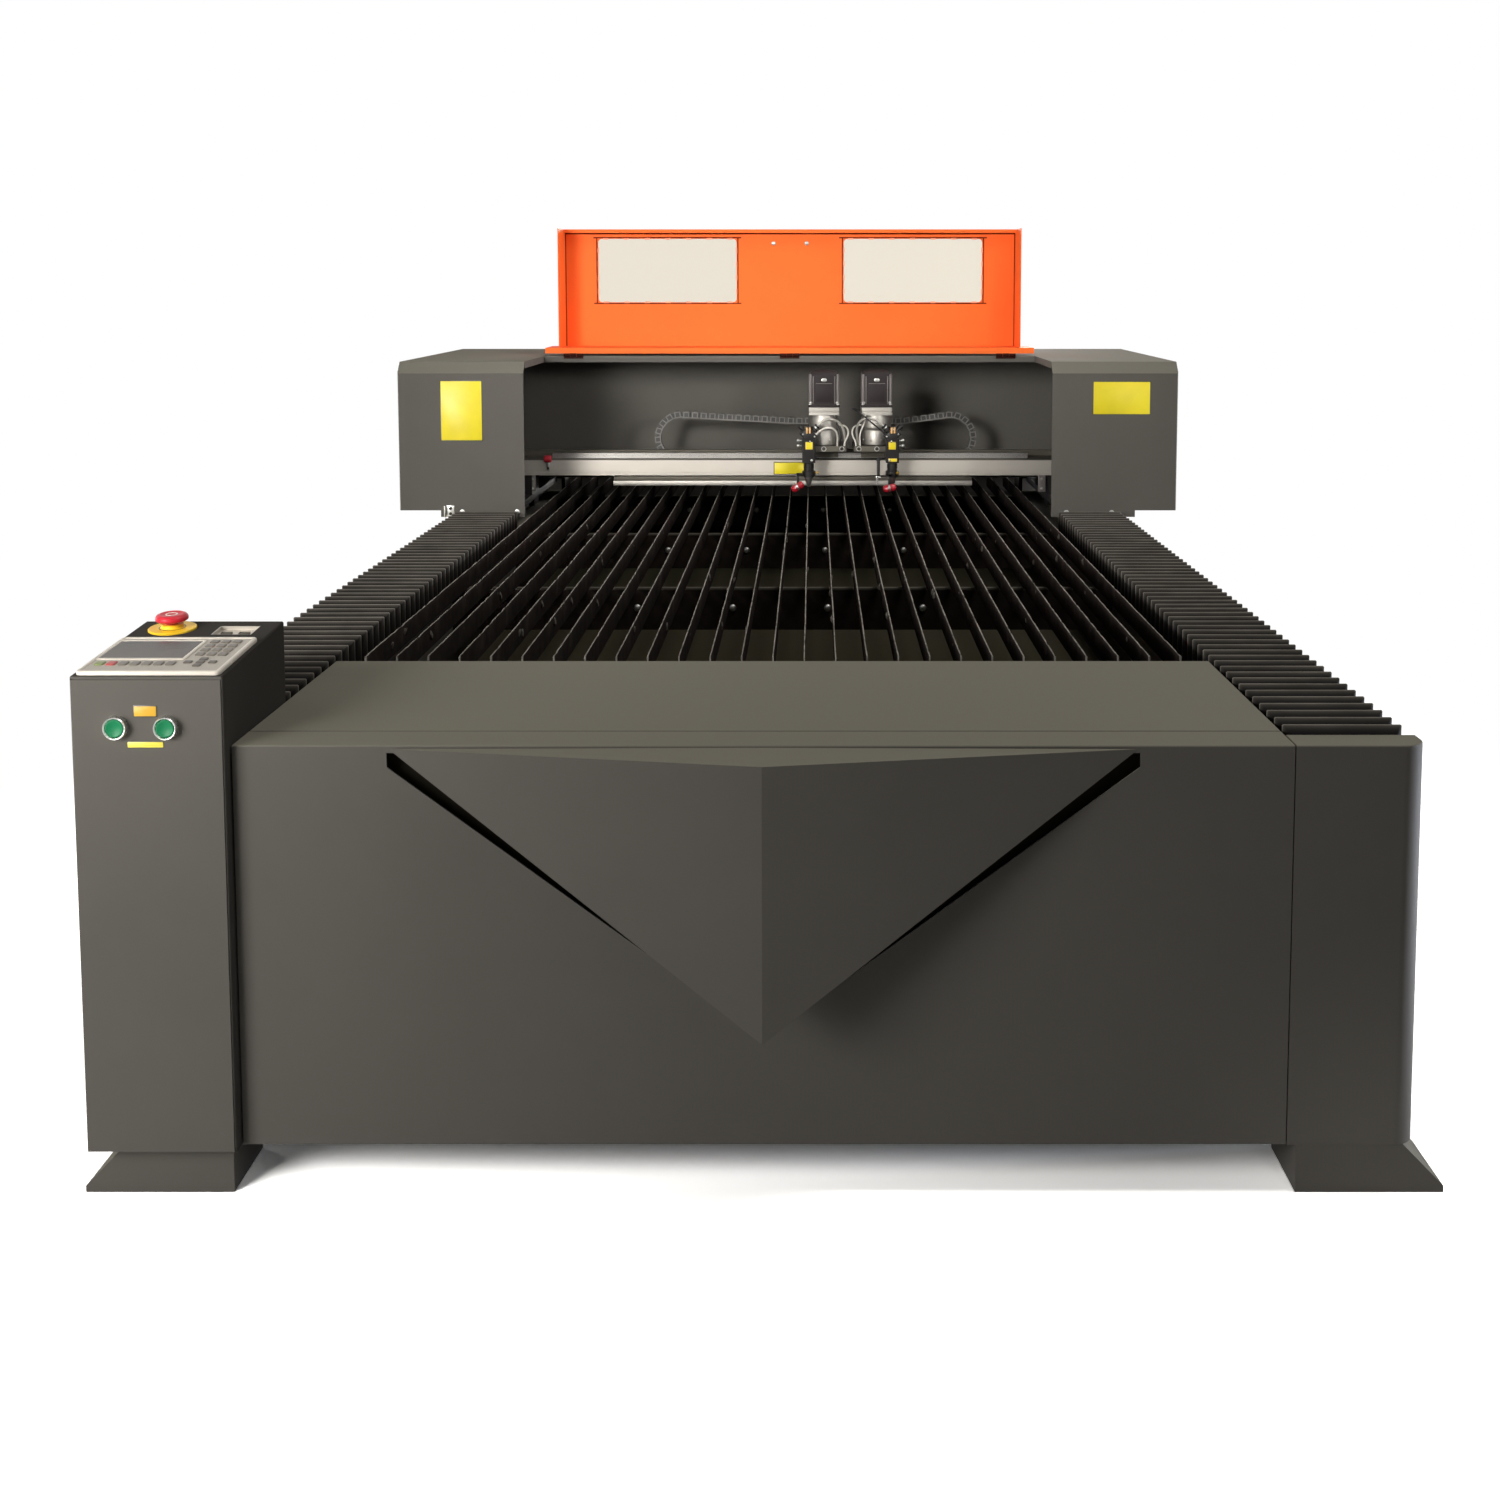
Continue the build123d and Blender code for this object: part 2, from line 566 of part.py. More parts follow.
def y_carriage(side):
    body = block(PLATE_X, PLATE_Y, PLATE_Z)
    body += block(PLATE_X, BEAM_Y, (PLATE_Z[1], BEAM_Z[0]))
    for y in ((PLATE_Y[0] - 4, PLATE_Y[0] + 2), (PLATE_Y[1] - 1, PLATE_Y[1] + 5)):
        body += block((PLATE_X[0] + 30, PLATE_X[1]), y, (PLATE_Z[0], PLATE_Z[1] + 50))
    for y in ((2500, 2600), (3040, 3140)):
        body += block((RAIL_X - 30, RAIL_X + 30), y, (BEAM_TOP + 7, PLATE_Z[0]))
    body += block((RAIL_X - 15, RAIL_X + 15), (SHAFT_Y - 35, SHAFT_Y + 35), (PLATE_Z[1], SHAFT_Z + 32))
    half = RAIL_SIZE[0] / 2 + 2 * RUN_GAP
    groove_top = BEAM_TOP + RAIL_SIZE[1] + 2 * RUN_GAP
    body -= block((RAIL_X - half, RAIL_X + half), PLATE_Y, (BEAM_TOP, groove_top))
    body -= rod("x", (RAIL_X, SHAFT_Y, SHAFT_Z), SHAFT_R + PIN_GAP, 100)
    return body if side > 0 else mirror(body, about=Plane.YZ)


def y_motor():
    size = 60.0
    half = size / 2
    plate_x = (-958.0, -953.0)
    motor = block((-1045, plate_x[0]), (SHAFT_Y - half, SHAFT_Y + half), (SHAFT_Z - half, SHAFT_Z + half))
    motor = fillet(motor.edges().filter_by(Axis.X), 5)
    motor += block(plate_x, (SHAFT_Y - half, SHAFT_Y + 110), (PLATE_Z[1], SHAFT_Z + 60))
    motor += block((plate_x[1], -PLATE_X[0] - 60), (SHAFT_Y + 50, SHAFT_Y + 110), (PLATE_Z[1], PLATE_Z[1] + 6))
    return motor - rod("x", (-950, SHAFT_Y, SHAFT_Z), SHAFT_R + RUN_GAP, 20)


def y_drive_shaft():
    ends = (-957.0, 950.0)
    shaft = rod("x", (sum(ends) / 2, SHAFT_Y, SHAFT_Z), SHAFT_R, ends[1] - ends[0])
    for side in (-1, 1):
        width = PINION_X[1] - PINION_X[0]
        shaft += rod("x", (side * sum(PINION_X) / 2, SHAFT_Y, SHAFT_Z), PINION_R, width)
    return shaft


def laser_tubes():
    tubes = []
    for z in TUBE_Z:
        tube = rod("x", (0, TUBE_Y, z), TUBE_R, 2 * TUBE_HALF)
        ends = [rod("x", (side * (TUBE_HALF + 25), TUBE_Y, z), TUBE_R / 2, 50) for side in (-1, 1)]
        tubes.append(tube + ends)
    return group(tubes)


def tube_holders():
    back = WALL_Y + HOOD_SHEET
    pieces = []
    for x in (-500, 500):
        holder = block((x - 20, x + 20), (back, TUBE_Y + TUBE_R + 15), (TUBE_Z[0] - 60, TUBE_Z[1] + 60))
        for z in TUBE_Z:
            holder -= rod("x", (x, TUBE_Y, z), TUBE_R, 60)
        pieces.append(holder)
    for side in (-1, 1):
        for z in TUBE_Z:
            mount = block(sides((930, 990), side), (back, TUBE_Y + 30), (z - 30, z + 30))
            pieces.append(chamfer(mount.edges().filter_by(Axis.Z).group_by(Axis.Y)[-1].sort_by(Axis.X)[0], 40))
    return group(pieces)


def hinge_leaves():
    pieces = []
    for x in HINGE_X:
        half = HINGE_HALF
        leaf = block((x - half, x + half), (HINGE_Y + 2.5, NOTCH_Y), (HOUSING_Z[1] - 8, HINGE_Z))
        leaf += rod("x", (x, HINGE_Y, HINGE_Z), KNUCKLE_R, 2 * half)
        gap = KNUCKLE_HALF + RUN_GAP
        leaf -= block((x - gap, x + gap), (HINGE_Y - 10, NOTCH_Y), (HINGE_Z - KNUCKLE_R - 1, HINGE_Z + 10))
        pieces.append(leaf + rod("x", (x, HINGE_Y, HINGE_Z), PIN_R, 2 * half))
    return group(pieces)


def hood_pan():
    y, t = HOOD_Y, HOOD_SHEET
    full = (-HOOD_HALF, HOOD_HALF)
    roof = (-ROOF_HALF, ROOF_HALF)
    pan = block(full, (y[1] - t, y[1]), (HOUSING_Z[1] + RUN_GAP, HOOD_TOP))
    pan += block(roof, y, (ROOF_Z - t, ROOF_Z))
    pan += block(roof, (y[0], y[0] + t), (HINGE_Z + 5, ROOF_Z))
    for side in (-1, 1):
        pan += block(sides((HOOD_HALF - t, HOOD_HALF), side), y, (ROOF_Z - t, HOOD_TOP))
    lip = y[1] - HOOD_LIP[0]
    pan += block(full, (lip, y[1]), (HOOD_TOP - t, HOOD_TOP))
    pan += block(full, (lip, lip + t), (HOOD_TOP - HOOD_LIP[1], HOOD_TOP))
    for side in (-1, 1):
        opening = block(sides(WINDOW_X, side), (y[1] - 2 * t, y[1] + t), WINDOW_Z)
        pan -= fillet(opening.edges().filter_by(Axis.Y), WINDOW_R)
    for x in HINGE_X:
        half = KNUCKLE_HALF
        leaf = block((x - half, x + half), (HINGE_Y + 0.5, y[0]), (HINGE_Z, ROOF_Z - 4))
        leaf += rod("x", (x, HINGE_Y, HINGE_Z), KNUCKLE_R, 2 * half)
        pan += leaf - rod("x", (x, HINGE_Y, HINGE_Z), PIN_R + PIN_GAP, 4 * half)
    return pan


def hood_windows():
    x = (WINDOW_X[0] - PANE_EDGE, WINDOW_X[1] + PANE_EDGE)
    z = (WINDOW_Z[0] - PANE_EDGE, WINDOW_Z[1] + PANE_EDGE)
    return group(block(sides(x, side), (HOOD_Y[1], HOOD_Y[1] + PANE), z) for side in (-1, 1))


def head_carriage():
    plate = fillet(block(CARRIAGE_X, CARRIAGE_Y, CARRIAGE_Z).edges().filter_by(Axis.Z), 4)
    half = X_RAIL_SIZE[0] / 2 + 2 * RUN_GAP
    runner = block((MOTOR_X - 45, MOTOR_X + 45), (X_RAIL_Y - 26, X_RAIL_Y + 26), (BEAM_Z[1] + 3, CARRIAGE_Z[0]))
    groove_top = BEAM_Z[1] + X_RAIL_SIZE[1] + 2 * RUN_GAP
    runner -= block((MOTOR_X - 50, MOTOR_X + 50), (X_RAIL_Y - half, X_RAIL_Y + half), (BEAM_Z[1], groove_top))
    post_top = CHAIN_END_Z - CHAIN_SECTION[0] / 2
    post = block(CHAIN_POST_X, (CARRIAGE_Y[1] - 20, CHAIN_Y + 15), (post_top - 6, post_top))
    post += block(CHAIN_POST_X, (CARRIAGE_Y[1] - 20, CARRIAGE_Y[1] - 12), (CARRIAGE_Z[1], post_top))
    return plate + runner + post


def head_motor():
    half = MOTOR_W / 2
    body = block((MOTOR_X - half, MOTOR_X + half), (MOTOR_Y - half, MOTOR_Y + half), MOTOR_Z)
    body = fillet(body.edges().filter_by(Axis.Z), 10)
    return fillet(body.faces().sort_by(Axis.Z)[-1].outer_wire().edges(), 8)


def head_module():
    half = MOTOR_W / 2
    low, high = CARRIAGE_Z[1], MOTOR_Z[0]
    cap = block((MOTOR_X - half, MOTOR_X + half), (MOTOR_Y - half, MOTOR_Y + half), (high - MODULE_CAP, high))
    cap = fillet(cap.edges().filter_by(Axis.Z), 6)
    drum = rod("z", (MOTOR_X, MOTOR_Y, (low + high - MODULE_CAP) / 2), MODULE_R, high - MODULE_CAP - low)
    return cap + drum


def mirror_head():
    half = COLUMN_W / 2
    x = (COLUMN_X - half, COLUMN_X + half)
    y = (COLUMN_Y - half, CARRIAGE_Y[0])
    column = fillet(block(x, y, COLUMN_Z).edges().filter_by(Axis.Z), 3)
    turret = Pos(COLUMN_X, COLUMN_Y, MIRROR_Z) * Rot(0, 45, 0) * Box(44, 38, 34)
    knobs = [Pos(COLUMN_X - 21, COLUMN_Y + dy, MIRROR_Z + 21) * Rot(0, -45, 0) * Cylinder(5, 20) for dy in (-11, 11)]
    screw = rod("x", (x[1] + 6, COLUMN_Y, COLUMN_Z[0] + 14), 4, 12)
    gland_run = (34 + GLAND[1]) / 2 * 0.5 ** 0.5
    gland = Pos(COLUMN_X + gland_run, COLUMN_Y, MIRROR_Z + gland_run) * Rot(0, 45, 0) * Cylinder(*GLAND)
    column += turret
    column += gland
    column += knobs
    column += screw
    return column - rod("z", (COLUMN_X, COLUMN_Y, COLUMN_Z[0]), LENS_R + LENS_BORE_GAP, LENS_BORE)


def lens_tube():
    tube_z = (NOZZLE_Z[1], COLUMN_Z[0] + 22)
    tube = rod("z", (COLUMN_X, COLUMN_Y, sum(tube_z) / 2), LENS_R, tube_z[1] - tube_z[0])
    tube += rod("z", (COLUMN_X, COLUMN_Y, NOZZLE_Z[1] + 12), LENS_R + 4, 14)
    tip = Pos(COLUMN_X, COLUMN_Y, sum(NOZZLE_Z) / 2) * Cone(4, 13, NOZZLE_Z[1] - NOZZLE_Z[0])
    return tube + tip


def side_pointer():
    """Red pointer clamped at the left of the left nozzle."""
    x = COLUMN_X - 34
    body = Pos(x, COLUMN_Y, POINTER_Z) * Rot(0, 58, 0) * Cylinder(POINTER_R, POINTER_LONG)
    strap = block((x - 3, x + 5), (COLUMN_Y - 4, COLUMN_Y + 4), (POINTER_Z + 6, POINTER_ARM_Z[1]))
    arm = block((x - 3, COLUMN_X - LENS_R + 1), (COLUMN_Y - 4, COLUMN_Y + 4), POINTER_ARM_Z)
    return body + strap + arm


def front_pointer():
    """Red pointer clamped in front of the right nozzle."""
    x = 2 * HEADS_MIRROR_X - COLUMN_X - 9
    y = COLUMN_Y - LENS_R - 14
    body = Pos(x, y, POINTER_Z) * Rot(0, 78, 0) * Cylinder(POINTER_R, POINTER_LONG)
    strap = block((x - 4, x + 6), (y - 3, y + 4), (POINTER_Z + 6, POINTER_ARM_Z[1]))
    arm = block((x - 4, x + 6), (y - 3, COLUMN_Y - LENS_R + 5), POINTER_ARM_Z)
    return body + strap + arm


def cable_chain(end_x, loop_x, foot_x):
    """A chain from the carriage, round a loop, and back along the beam's shelf."""
    toward = -1 if loop_x < end_x else 1
    half = CHAIN_SECTION[0] / 2
    front = CHAIN_Y - CHAIN_SECTION[1] / 2
    radius = (CHAIN_TOP_Z - CHAIN_LOW_Z) / 2
    centre = loop_x - toward * (radius + half)
    step_x = end_x + toward * 40
    spine = ((end_x, CHAIN_END_Z), (step_x, CHAIN_END_Z), (centre, CHAIN_TOP_Z))
    outline = [(x, front, z + half) for x, z in spine] + [(x, front, z - half) for x, z in reversed(spine)]
    chain = prism(outline, (0, 1, 0), CHAIN_SECTION[1])
    place = (centre, CHAIN_Y, (CHAIN_TOP_Z + CHAIN_LOW_Z) / 2)
    loop = rod("y", place, radius + half, CHAIN_SECTION[1]) - rod("y", place, radius - half, 2 * CHAIN_SECTION[1])
    keep = sorted((centre, centre + toward * 2 * radius))
    chain += loop & block(keep, (front, front + CHAIN_SECTION[1]), (CHAIN_LOW_Z - half, CHAIN_TOP_Z + half))
    low_run = sorted((centre, foot_x))
    return chain + block(low_run, (front, front + CHAIN_SECTION[1]), (CHAIN_LOW_Z - half, CHAIN_LOW_Z + half))


def cable(route, radius):
    """A cable along runs joined by arcs as wide as the runs allow."""
    corners = [Vector(*point) for point in route]
    radii = []
    for before, here, after in zip(corners, corners[1:], corners[2:]):
        turn = radians((here - before).get_angle(after - here))
        shorter = min((here - before).length, (after - here).length)
        radii.append(0.45 * shorter / tan(turn / 2))
    path = FilletPolyline(*route, radius=radii)
    tube = sweep(Plane(path @ 0, z_dir=path % 0) * Circle(radius), path=path)
    share = tube.volume / (path.length * 3.14159265 * radius ** 2)
    print(f"cable {path.length:.1f} mm, volume share {share:.3f}, radii", [round(r) for r in radii])
    return tube


def left_cables():
    """A cable and a lead from the mirror block, and two wires from the drive module, to the carriage."""
    routes = ((LEFT_CABLE_ROUTE, CABLE_R), (LEFT_LEAD_ROUTE, LEAD_R), (SIDE_WIRE_ROUTE, WIRE_R),
              (CAP_WIRE_ROUTE, WIRE_R))
    return group(cable(route, radius) for route, radius in routes)


def right_cables():
    """A cable and two wires to the carriage, and a lead from the drive module to the mirror block."""
    pieces = [cable(RIGHT_CABLE_ROUTE, CABLE_R), cable(RIGHT_LEAD_ROUTE, WIRE_R)]
    pieces += [mirrored(cable(route, WIRE_R)) for route in (SIDE_WIRE_ROUTE, CAP_WIRE_ROUTE)]
    return group(pieces)


nodes = {
    "front_panel": front_panel(), "fascia": fascia(), "front_deck": front_deck(),
    "control_cabinet": control_cabinet(), "console_bezel": console_bezel(), "lcd_glass": lcd_glass(),
    "keypad_keys": keypad_keys(), "port_panel": port_panel(), "estop_collar": estop_collar(),
    "estop_button": estop_button(), "button_bezels": button_bezels(),
    "start_button_left": start_button(BUTTON_X[0]), "start_button_right": start_button(BUTTON_X[1]),
    "right_post": right_post(), "side_beams": side_beams(), "side_panels": side_panels(),
    "rear_panel": rear_panel(), "legs": legs(), "feet": feet(), "bed_blades": bed_blades(),
    "blade_supports": blade_supports(), "support_bolts": support_bolts(), "slag_tray": slag_tray(),
    "y_rails": y_rails(), "y_racks": y_racks(),
    "front_cover_left": way_cover(-1, COVER_Y[-1]), "front_cover_right": way_cover(1, COVER_Y[1]),
    "rear_cover_left": way_cover(-1, REAR_COVER_Y), "rear_cover_right": way_cover(1, REAR_COVER_Y),
    "exhaust_spigots": exhaust_spigots(),
    "housing_left": housing(-1), "housing_right": housing(1), "top_cover": top_cover(),
    "alcove_wall": alcove_wall(), "cross_beam": cross_beam(), "x_rail": x_rail(), "lower_bar": lower_bar(),
    "end_stop": end_stop(), "y_carriages": group((y_carriage(-1), y_carriage(1))), "y_motor": y_motor(),
    "y_drive_shaft": y_drive_shaft(), "laser_tubes": laser_tubes(), "tube_holders": tube_holders(),
    "hinge_leaves": hinge_leaves(), "hood_pan": hood_pan(), "hood_windows": hood_windows(),
}
head_nodes = {
    "carriage": head_carriage(), "motor": head_motor(), "drive_module": head_module(),
    "mirror_head": mirror_head(),
}
for name, shape in head_nodes.items():
    nodes[f"left_{name}"] = shape
    nodes[f"right_{name}"] = mirrored(shape)
nodes["left_cable"] = left_cables()
nodes["right_cable"] = right_cables()
nodes["left_lens_tube"] = lens_tube() + side_pointer()
nodes["right_lens_tube"] = mirrored(lens_tube()) + front_pointer()
chain_end = CHAIN_POST_X[1]
nodes["left_cable_chain"] = cable_chain(chain_end, CHAIN_LOOP_X[0], CHAIN_FOOT_X[0])
nodes["right_cable_chain"] = cable_chain(2 * HEADS_MIRROR_X - chain_end, CHAIN_LOOP_X[1], CHAIN_FOOT_X[1])

for name, shape in nodes.items():
    save(name, shape)
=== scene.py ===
import math
import random
import bmesh
import bpy
from mathutils import Matrix, Vector, noise


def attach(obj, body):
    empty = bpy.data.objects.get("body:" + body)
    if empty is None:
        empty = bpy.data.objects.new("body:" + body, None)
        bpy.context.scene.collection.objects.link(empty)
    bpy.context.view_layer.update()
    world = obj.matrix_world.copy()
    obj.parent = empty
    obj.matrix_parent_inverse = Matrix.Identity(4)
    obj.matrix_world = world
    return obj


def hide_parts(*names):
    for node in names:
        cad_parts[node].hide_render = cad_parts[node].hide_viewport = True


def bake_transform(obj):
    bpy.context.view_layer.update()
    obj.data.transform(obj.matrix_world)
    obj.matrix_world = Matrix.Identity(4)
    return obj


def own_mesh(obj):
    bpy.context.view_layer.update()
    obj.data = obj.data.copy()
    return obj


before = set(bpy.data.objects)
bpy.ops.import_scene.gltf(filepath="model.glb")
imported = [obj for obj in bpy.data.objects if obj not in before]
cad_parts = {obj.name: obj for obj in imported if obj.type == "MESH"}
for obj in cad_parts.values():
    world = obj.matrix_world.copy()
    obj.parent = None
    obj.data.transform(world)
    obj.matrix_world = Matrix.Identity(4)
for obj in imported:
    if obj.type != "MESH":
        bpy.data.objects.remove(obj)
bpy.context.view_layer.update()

# Sizes are in millimetres: X to the right, Y back from the front panel's face, Z up from the floor.
MM = 0.001
# The model's origin, halfway along the machine
Y_MID = 1731.0
# Control cabinet: its sides, its front and its top's front edge, then what stands on its top and front
CAB_X, CAB_Y, CAB_Z = (-994.0, -774.0), -20.0, 786.0
CONSOLE_SLOPE = math.atan2(22.0, 285.0)
KEYPAD_HIGH = 4.3
STOP_AT = (-51, 240)
BUTTON_X, BUTTON_Z = (-928.0, -855.5), 712.0
# Slats: their spacing, how many stand on each side of the middle one, and their ends and heights
SLAT_STEP, SLATS_BESIDE = 56.4, 13
SLAT_Y = (590.0, 3440.0)
SLAT_FOOT, SLAT_SHOULDER, SLAT_TOP = 634.0, 675.6, 676.9
# Way covers: their section and middle, their ends with the gantry at the rear, and the gantry's travel
COVER_X, COVER_Z, COVER_MIDDLE = (775.0, 952.0), (613.0, 687.0), (863, 650)
FRONT_COVER_END, REAR_COVER_Y = 2416.0, (3331.0, 3458.0)
# Gantry and hood: front faces, the housings' length, half widths, and the depth of the hood's score lines and
# painted shade lines
HOUSING_FACE, HOUSING_LENGTH = 2417, (2420, 3327)
BEAM_FACE, BEAM_HALF = 2806, 905
HOOD_FACE, HOOD_HALF = 2948.0, 710.0
SCORE_AND_SHADE_Y = (HOOD_FACE - 1.1, HOOD_FACE + 0.1)
# Heads: the plane between them, and the left one's motor and mirror mount
HEADS_MIRROR_X = 186.0
HEAD_X, HEAD_Y = 105.5, 2788.0
COLUMN_X, COLUMN_Y = 59.0, 2717.0
MOUNT_FACE = COLUMN_Y - 20
MIRROR_Z = 879.0
# Cable chains: their middle, the heights of both runs, the left one's end on its carriage, the links' pitch
CHAIN_Y, CHAIN_RUNS, CHAIN_END, CHAIN_PITCH = 2962, (775, 922), (56.5, 902), 27
# Edges sharper than these angles, in degrees, are not smoothed.
CREASE, COVER_CREASE = 38, 30


def place(x, y, z):
    """A point of the machine, in metres in the model's frame."""
    return Vector((x * MM, (y - Y_MID) * MM, z * MM))


def shown(name, data):
    """An object in the scene for a mesh, a curve, a lamp or the camera."""
    made = bpy.data.objects.new(name, data)
    bpy.context.collection.objects.link(made)
    return made


# Camera: in front of the machine, a little to the right of its middle, looking slightly down
PICTURE_PX, FOCAL_PX, CENTRE_PX = 1500.0, 1690.0, (812.9, 424.4)
SENSOR, LOOKING_DOWN = 36.0, 4.95

camera = shown("camera", bpy.data.cameras.new("camera"))
camera.location = place(71.6, -2400.0, 1354.2)
camera.rotation_euler = (math.radians(90.0 - LOOKING_DOWN), 0.0, 0.0)
camera.data.sensor_width = SENSOR
camera.data.lens = SENSOR * FOCAL_PX / PICTURE_PX
camera.data.shift_x = (PICTURE_PX / 2 - CENTRE_PX[0]) / PICTURE_PX
camera.data.shift_y = (CENTRE_PX[1] - PICTURE_PX / 2) / PICTURE_PX
camera.data.clip_end = 100.0
bpy.context.scene.camera = camera


# Materials

# The two colours of a Mix node, by socket number
ONE, OTHER = 6, 7


def linear(code):
    """A linear colour from an sRGB hex value."""
    parts = [int(code[n:n + 2], 16) / 255.0 for n in (1, 3, 5)]
    return (*[c / 12.92 if c <= 0.04045 else ((c + 0.055) / 1.055) ** 2.4 for c in parts], 1.0)


def shade(code, factor):
    """A hex colour made darker or lighter, as a linear colour."""
    return (*[c * factor for c in linear(code)[:3]], 1.0)


def add(tree, kind, inputs=None, **settings):
    """A node with its settings; an input takes a value, a socket, or a node's first output in use."""
    made = tree.nodes.new(kind)
    for name, value in settings.items():
        setattr(made, name, value)
    for name, value in (inputs or {}).items():
        socket = made.inputs[name]
        if isinstance(value, bpy.types.Node):
            value = next(output for output in value.outputs if output.enabled)
        if isinstance(value, bpy.types.NodeSocket):
            tree.links.new(value, socket)
        else:
            socket.default_value = value
    return made


def finish(name):
    """An empty material, its tree, and its Object coordinates."""
    made = bpy.data.materials.new(name)
    made.use_nodes = True
    made.node_tree.nodes.clear()
    return made, made.node_tree, add(made.node_tree, "ShaderNodeTexCoord").outputs["Object"]


def close(made, **inputs):
    """Ends a material with its shader, whose sockets are set or linked."""
    tree = made.node_tree
    shader = add(tree, "ShaderNodeBsdfPrincipled", {k.replace("_", " "): v for k, v in inputs.items()})
    add(tree, "ShaderNodeOutputMaterial", {"Surface": shader})
    return made


def patchy(tree, where, size, one, other, detail=3.0, rough=0.5):
    """Cloudy noise of a size in millimetres, and a tone that drifts with it between two colours."""
    cloud = add(tree, "ShaderNodeTexNoise", {"Vector": where, "Scale": 1 / (size * MM), "Detail": detail,
                                             "Roughness": rough})
    return cloud, add(tree, "ShaderNodeMix", {"Factor": cloud, ONE: one, OTHER: other}, data_type="RGBA")


def powder_coat(name, code, film_code, film, rough, side=0.0):
    """Powder coat baked on sheet steel: satin, faintly orange-peeled, cloudy in tone, with a film on it.

    The film of dust or oil lies on top; where side is given, it is also laid on the right-hand side as
    painted shade.
    """
    made, tree, where = finish(name)
    cloud, tone = patchy(tree, where, 300, shade(code, 0.88), shade(code, 1.12), 5.0, 0.6)
    # Real orange peel is under 1 mm; it is drawn 4 mm wide to show.
    peel = add(tree, "ShaderNodeTexNoise", {"Vector": where, "Scale": 1 / (4 * MM), "Detail": 2.0})
    facing = add(tree, "ShaderNodeNewGeometry").outputs["Normal"]
    up = add(tree, "ShaderNodeSeparateXYZ", {"Vector": facing}).outputs
    # Where side is set, right-facing faces take the film as well: painted shade on that side.
    film_top_and_shaded_side = add(tree, "ShaderNodeMath", {0: up["X"], 1: side, 2: up["Z"]}, operation="MULTIPLY_ADD")
    film_and_side_shade = add(tree, "ShaderNodeMapRange", {"Value": film_top_and_shaded_side, "From Min": 0.2, "To Max": film})
    colour = add(tree, "ShaderNodeMix", {"Factor": film_and_side_shade, ONE: tone, OTHER: linear(film_code)},
                 data_type="RGBA")
    gloss = add(tree, "ShaderNodeMapRange", {"Value": cloud, "From Min": 0.3, "From Max": 0.7,
                                             "To Min": rough - 0.08, "To Max": rough + 0.08})
    matt = add(tree, "ShaderNodeMath", {0: film_and_side_shade, 1: 0.75, 2: gloss}, operation="MULTIPLY_ADD")
    skin = add(tree, "ShaderNodeBump", {"Height": peel, "Strength": 0.12, "Distance": 0.4 * MM})
    return close(made, Base_Color=colour, Roughness=matt, Normal=skin, Specular_IOR_Level=0.05)


def metal(name, code, rough, grain, along, streak):
    """Brushed, ground or plated metal: fine streaks along one axis break up its reflection."""
    made, tree, where = finish(name)
    stretch = [1 / (grain * MM)] * 3
    stretch["XYZ".index(along)] /= 120.0
    brushed = add(tree, "ShaderNodeMapping", {"Vector": where, "Scale": stretch})
    hair = add(tree, "ShaderNodeTexNoise", {"Vector": brushed, "Scale": 1.0, "Detail": 3.0})
    cloud = add(tree, "ShaderNodeTexNoise", {"Vector": where, "Scale": 1 / (120 * MM), "Detail": 3.0})
    both = add(tree, "ShaderNodeMath", {0: hair, 1: cloud}, operation="MULTIPLY")
    share = add(tree, "ShaderNodeMapRange", {"Value": both, "From Min": 0.1, "From Max": 0.42})
    dark, bright = shade(code, 1 - 0.5 * streak), shade(code, 1 + 0.3 * streak)
    colour = add(tree, "ShaderNodeMix", {"Factor": share, ONE: dark, OTHER: bright}, data_type="RGBA")
    gloss = add(tree, "ShaderNodeMapRange", {"Value": hair, "From Min": 0.3, "From Max": 0.7,
                                             "To Min": rough - 0.08, "To Max": rough + 0.08})
    skin = add(tree, "ShaderNodeBump", {"Height": hair, "Strength": 0.08, "Distance": 0.2 * MM})
    return close(made, Base_Color=colour, Metallic=1.0, Roughness=gloss, Normal=skin)


def plastic(name, code, rough, grain=1.2, depth=0.10, shine=0.5):
    """Moulded plastic, enamel or vinyl: an even colour, a fine grain and a soft shine."""
    made, tree, where = finish(name)
    grit = add(tree, "ShaderNodeTexNoise", {"Vector": where, "Scale": 1 / (grain * MM), "Detail": 2.0})
    colour = patchy(tree, where, 50, shade(code, 0.88), shade(code, 1.1))[1]
    gloss = add(tree, "ShaderNodeMapRange", {"Value": grit, "To Min": rough - 0.06, "To Max": rough + 0.06})
    skin = add(tree, "ShaderNodeBump", {"Height": grit, "Strength": depth, "Distance": 0.2 * MM})
    return close(made, Base_Color=colour, Roughness=gloss, Normal=skin, Specular_IOR_Level=shine)


def glazing(name, code, rough, ior):
    """Cast acrylic or blown glass: clear, with a breath of tint and a faint haze."""
    made, tree, where = finish(name)
    haze = add(tree, "ShaderNodeTexNoise", {"Vector": where, "Scale": 1 / (200 * MM), "Detail": 2.0})
    gloss = add(tree, "ShaderNodeMapRange", {"Value": haze, "To Min": rough, "To Max": 2.5 * rough})
    return close(made, Base_Color=linear(code), Roughness=gloss, Transmission_Weight=1.0, IOR=ior)


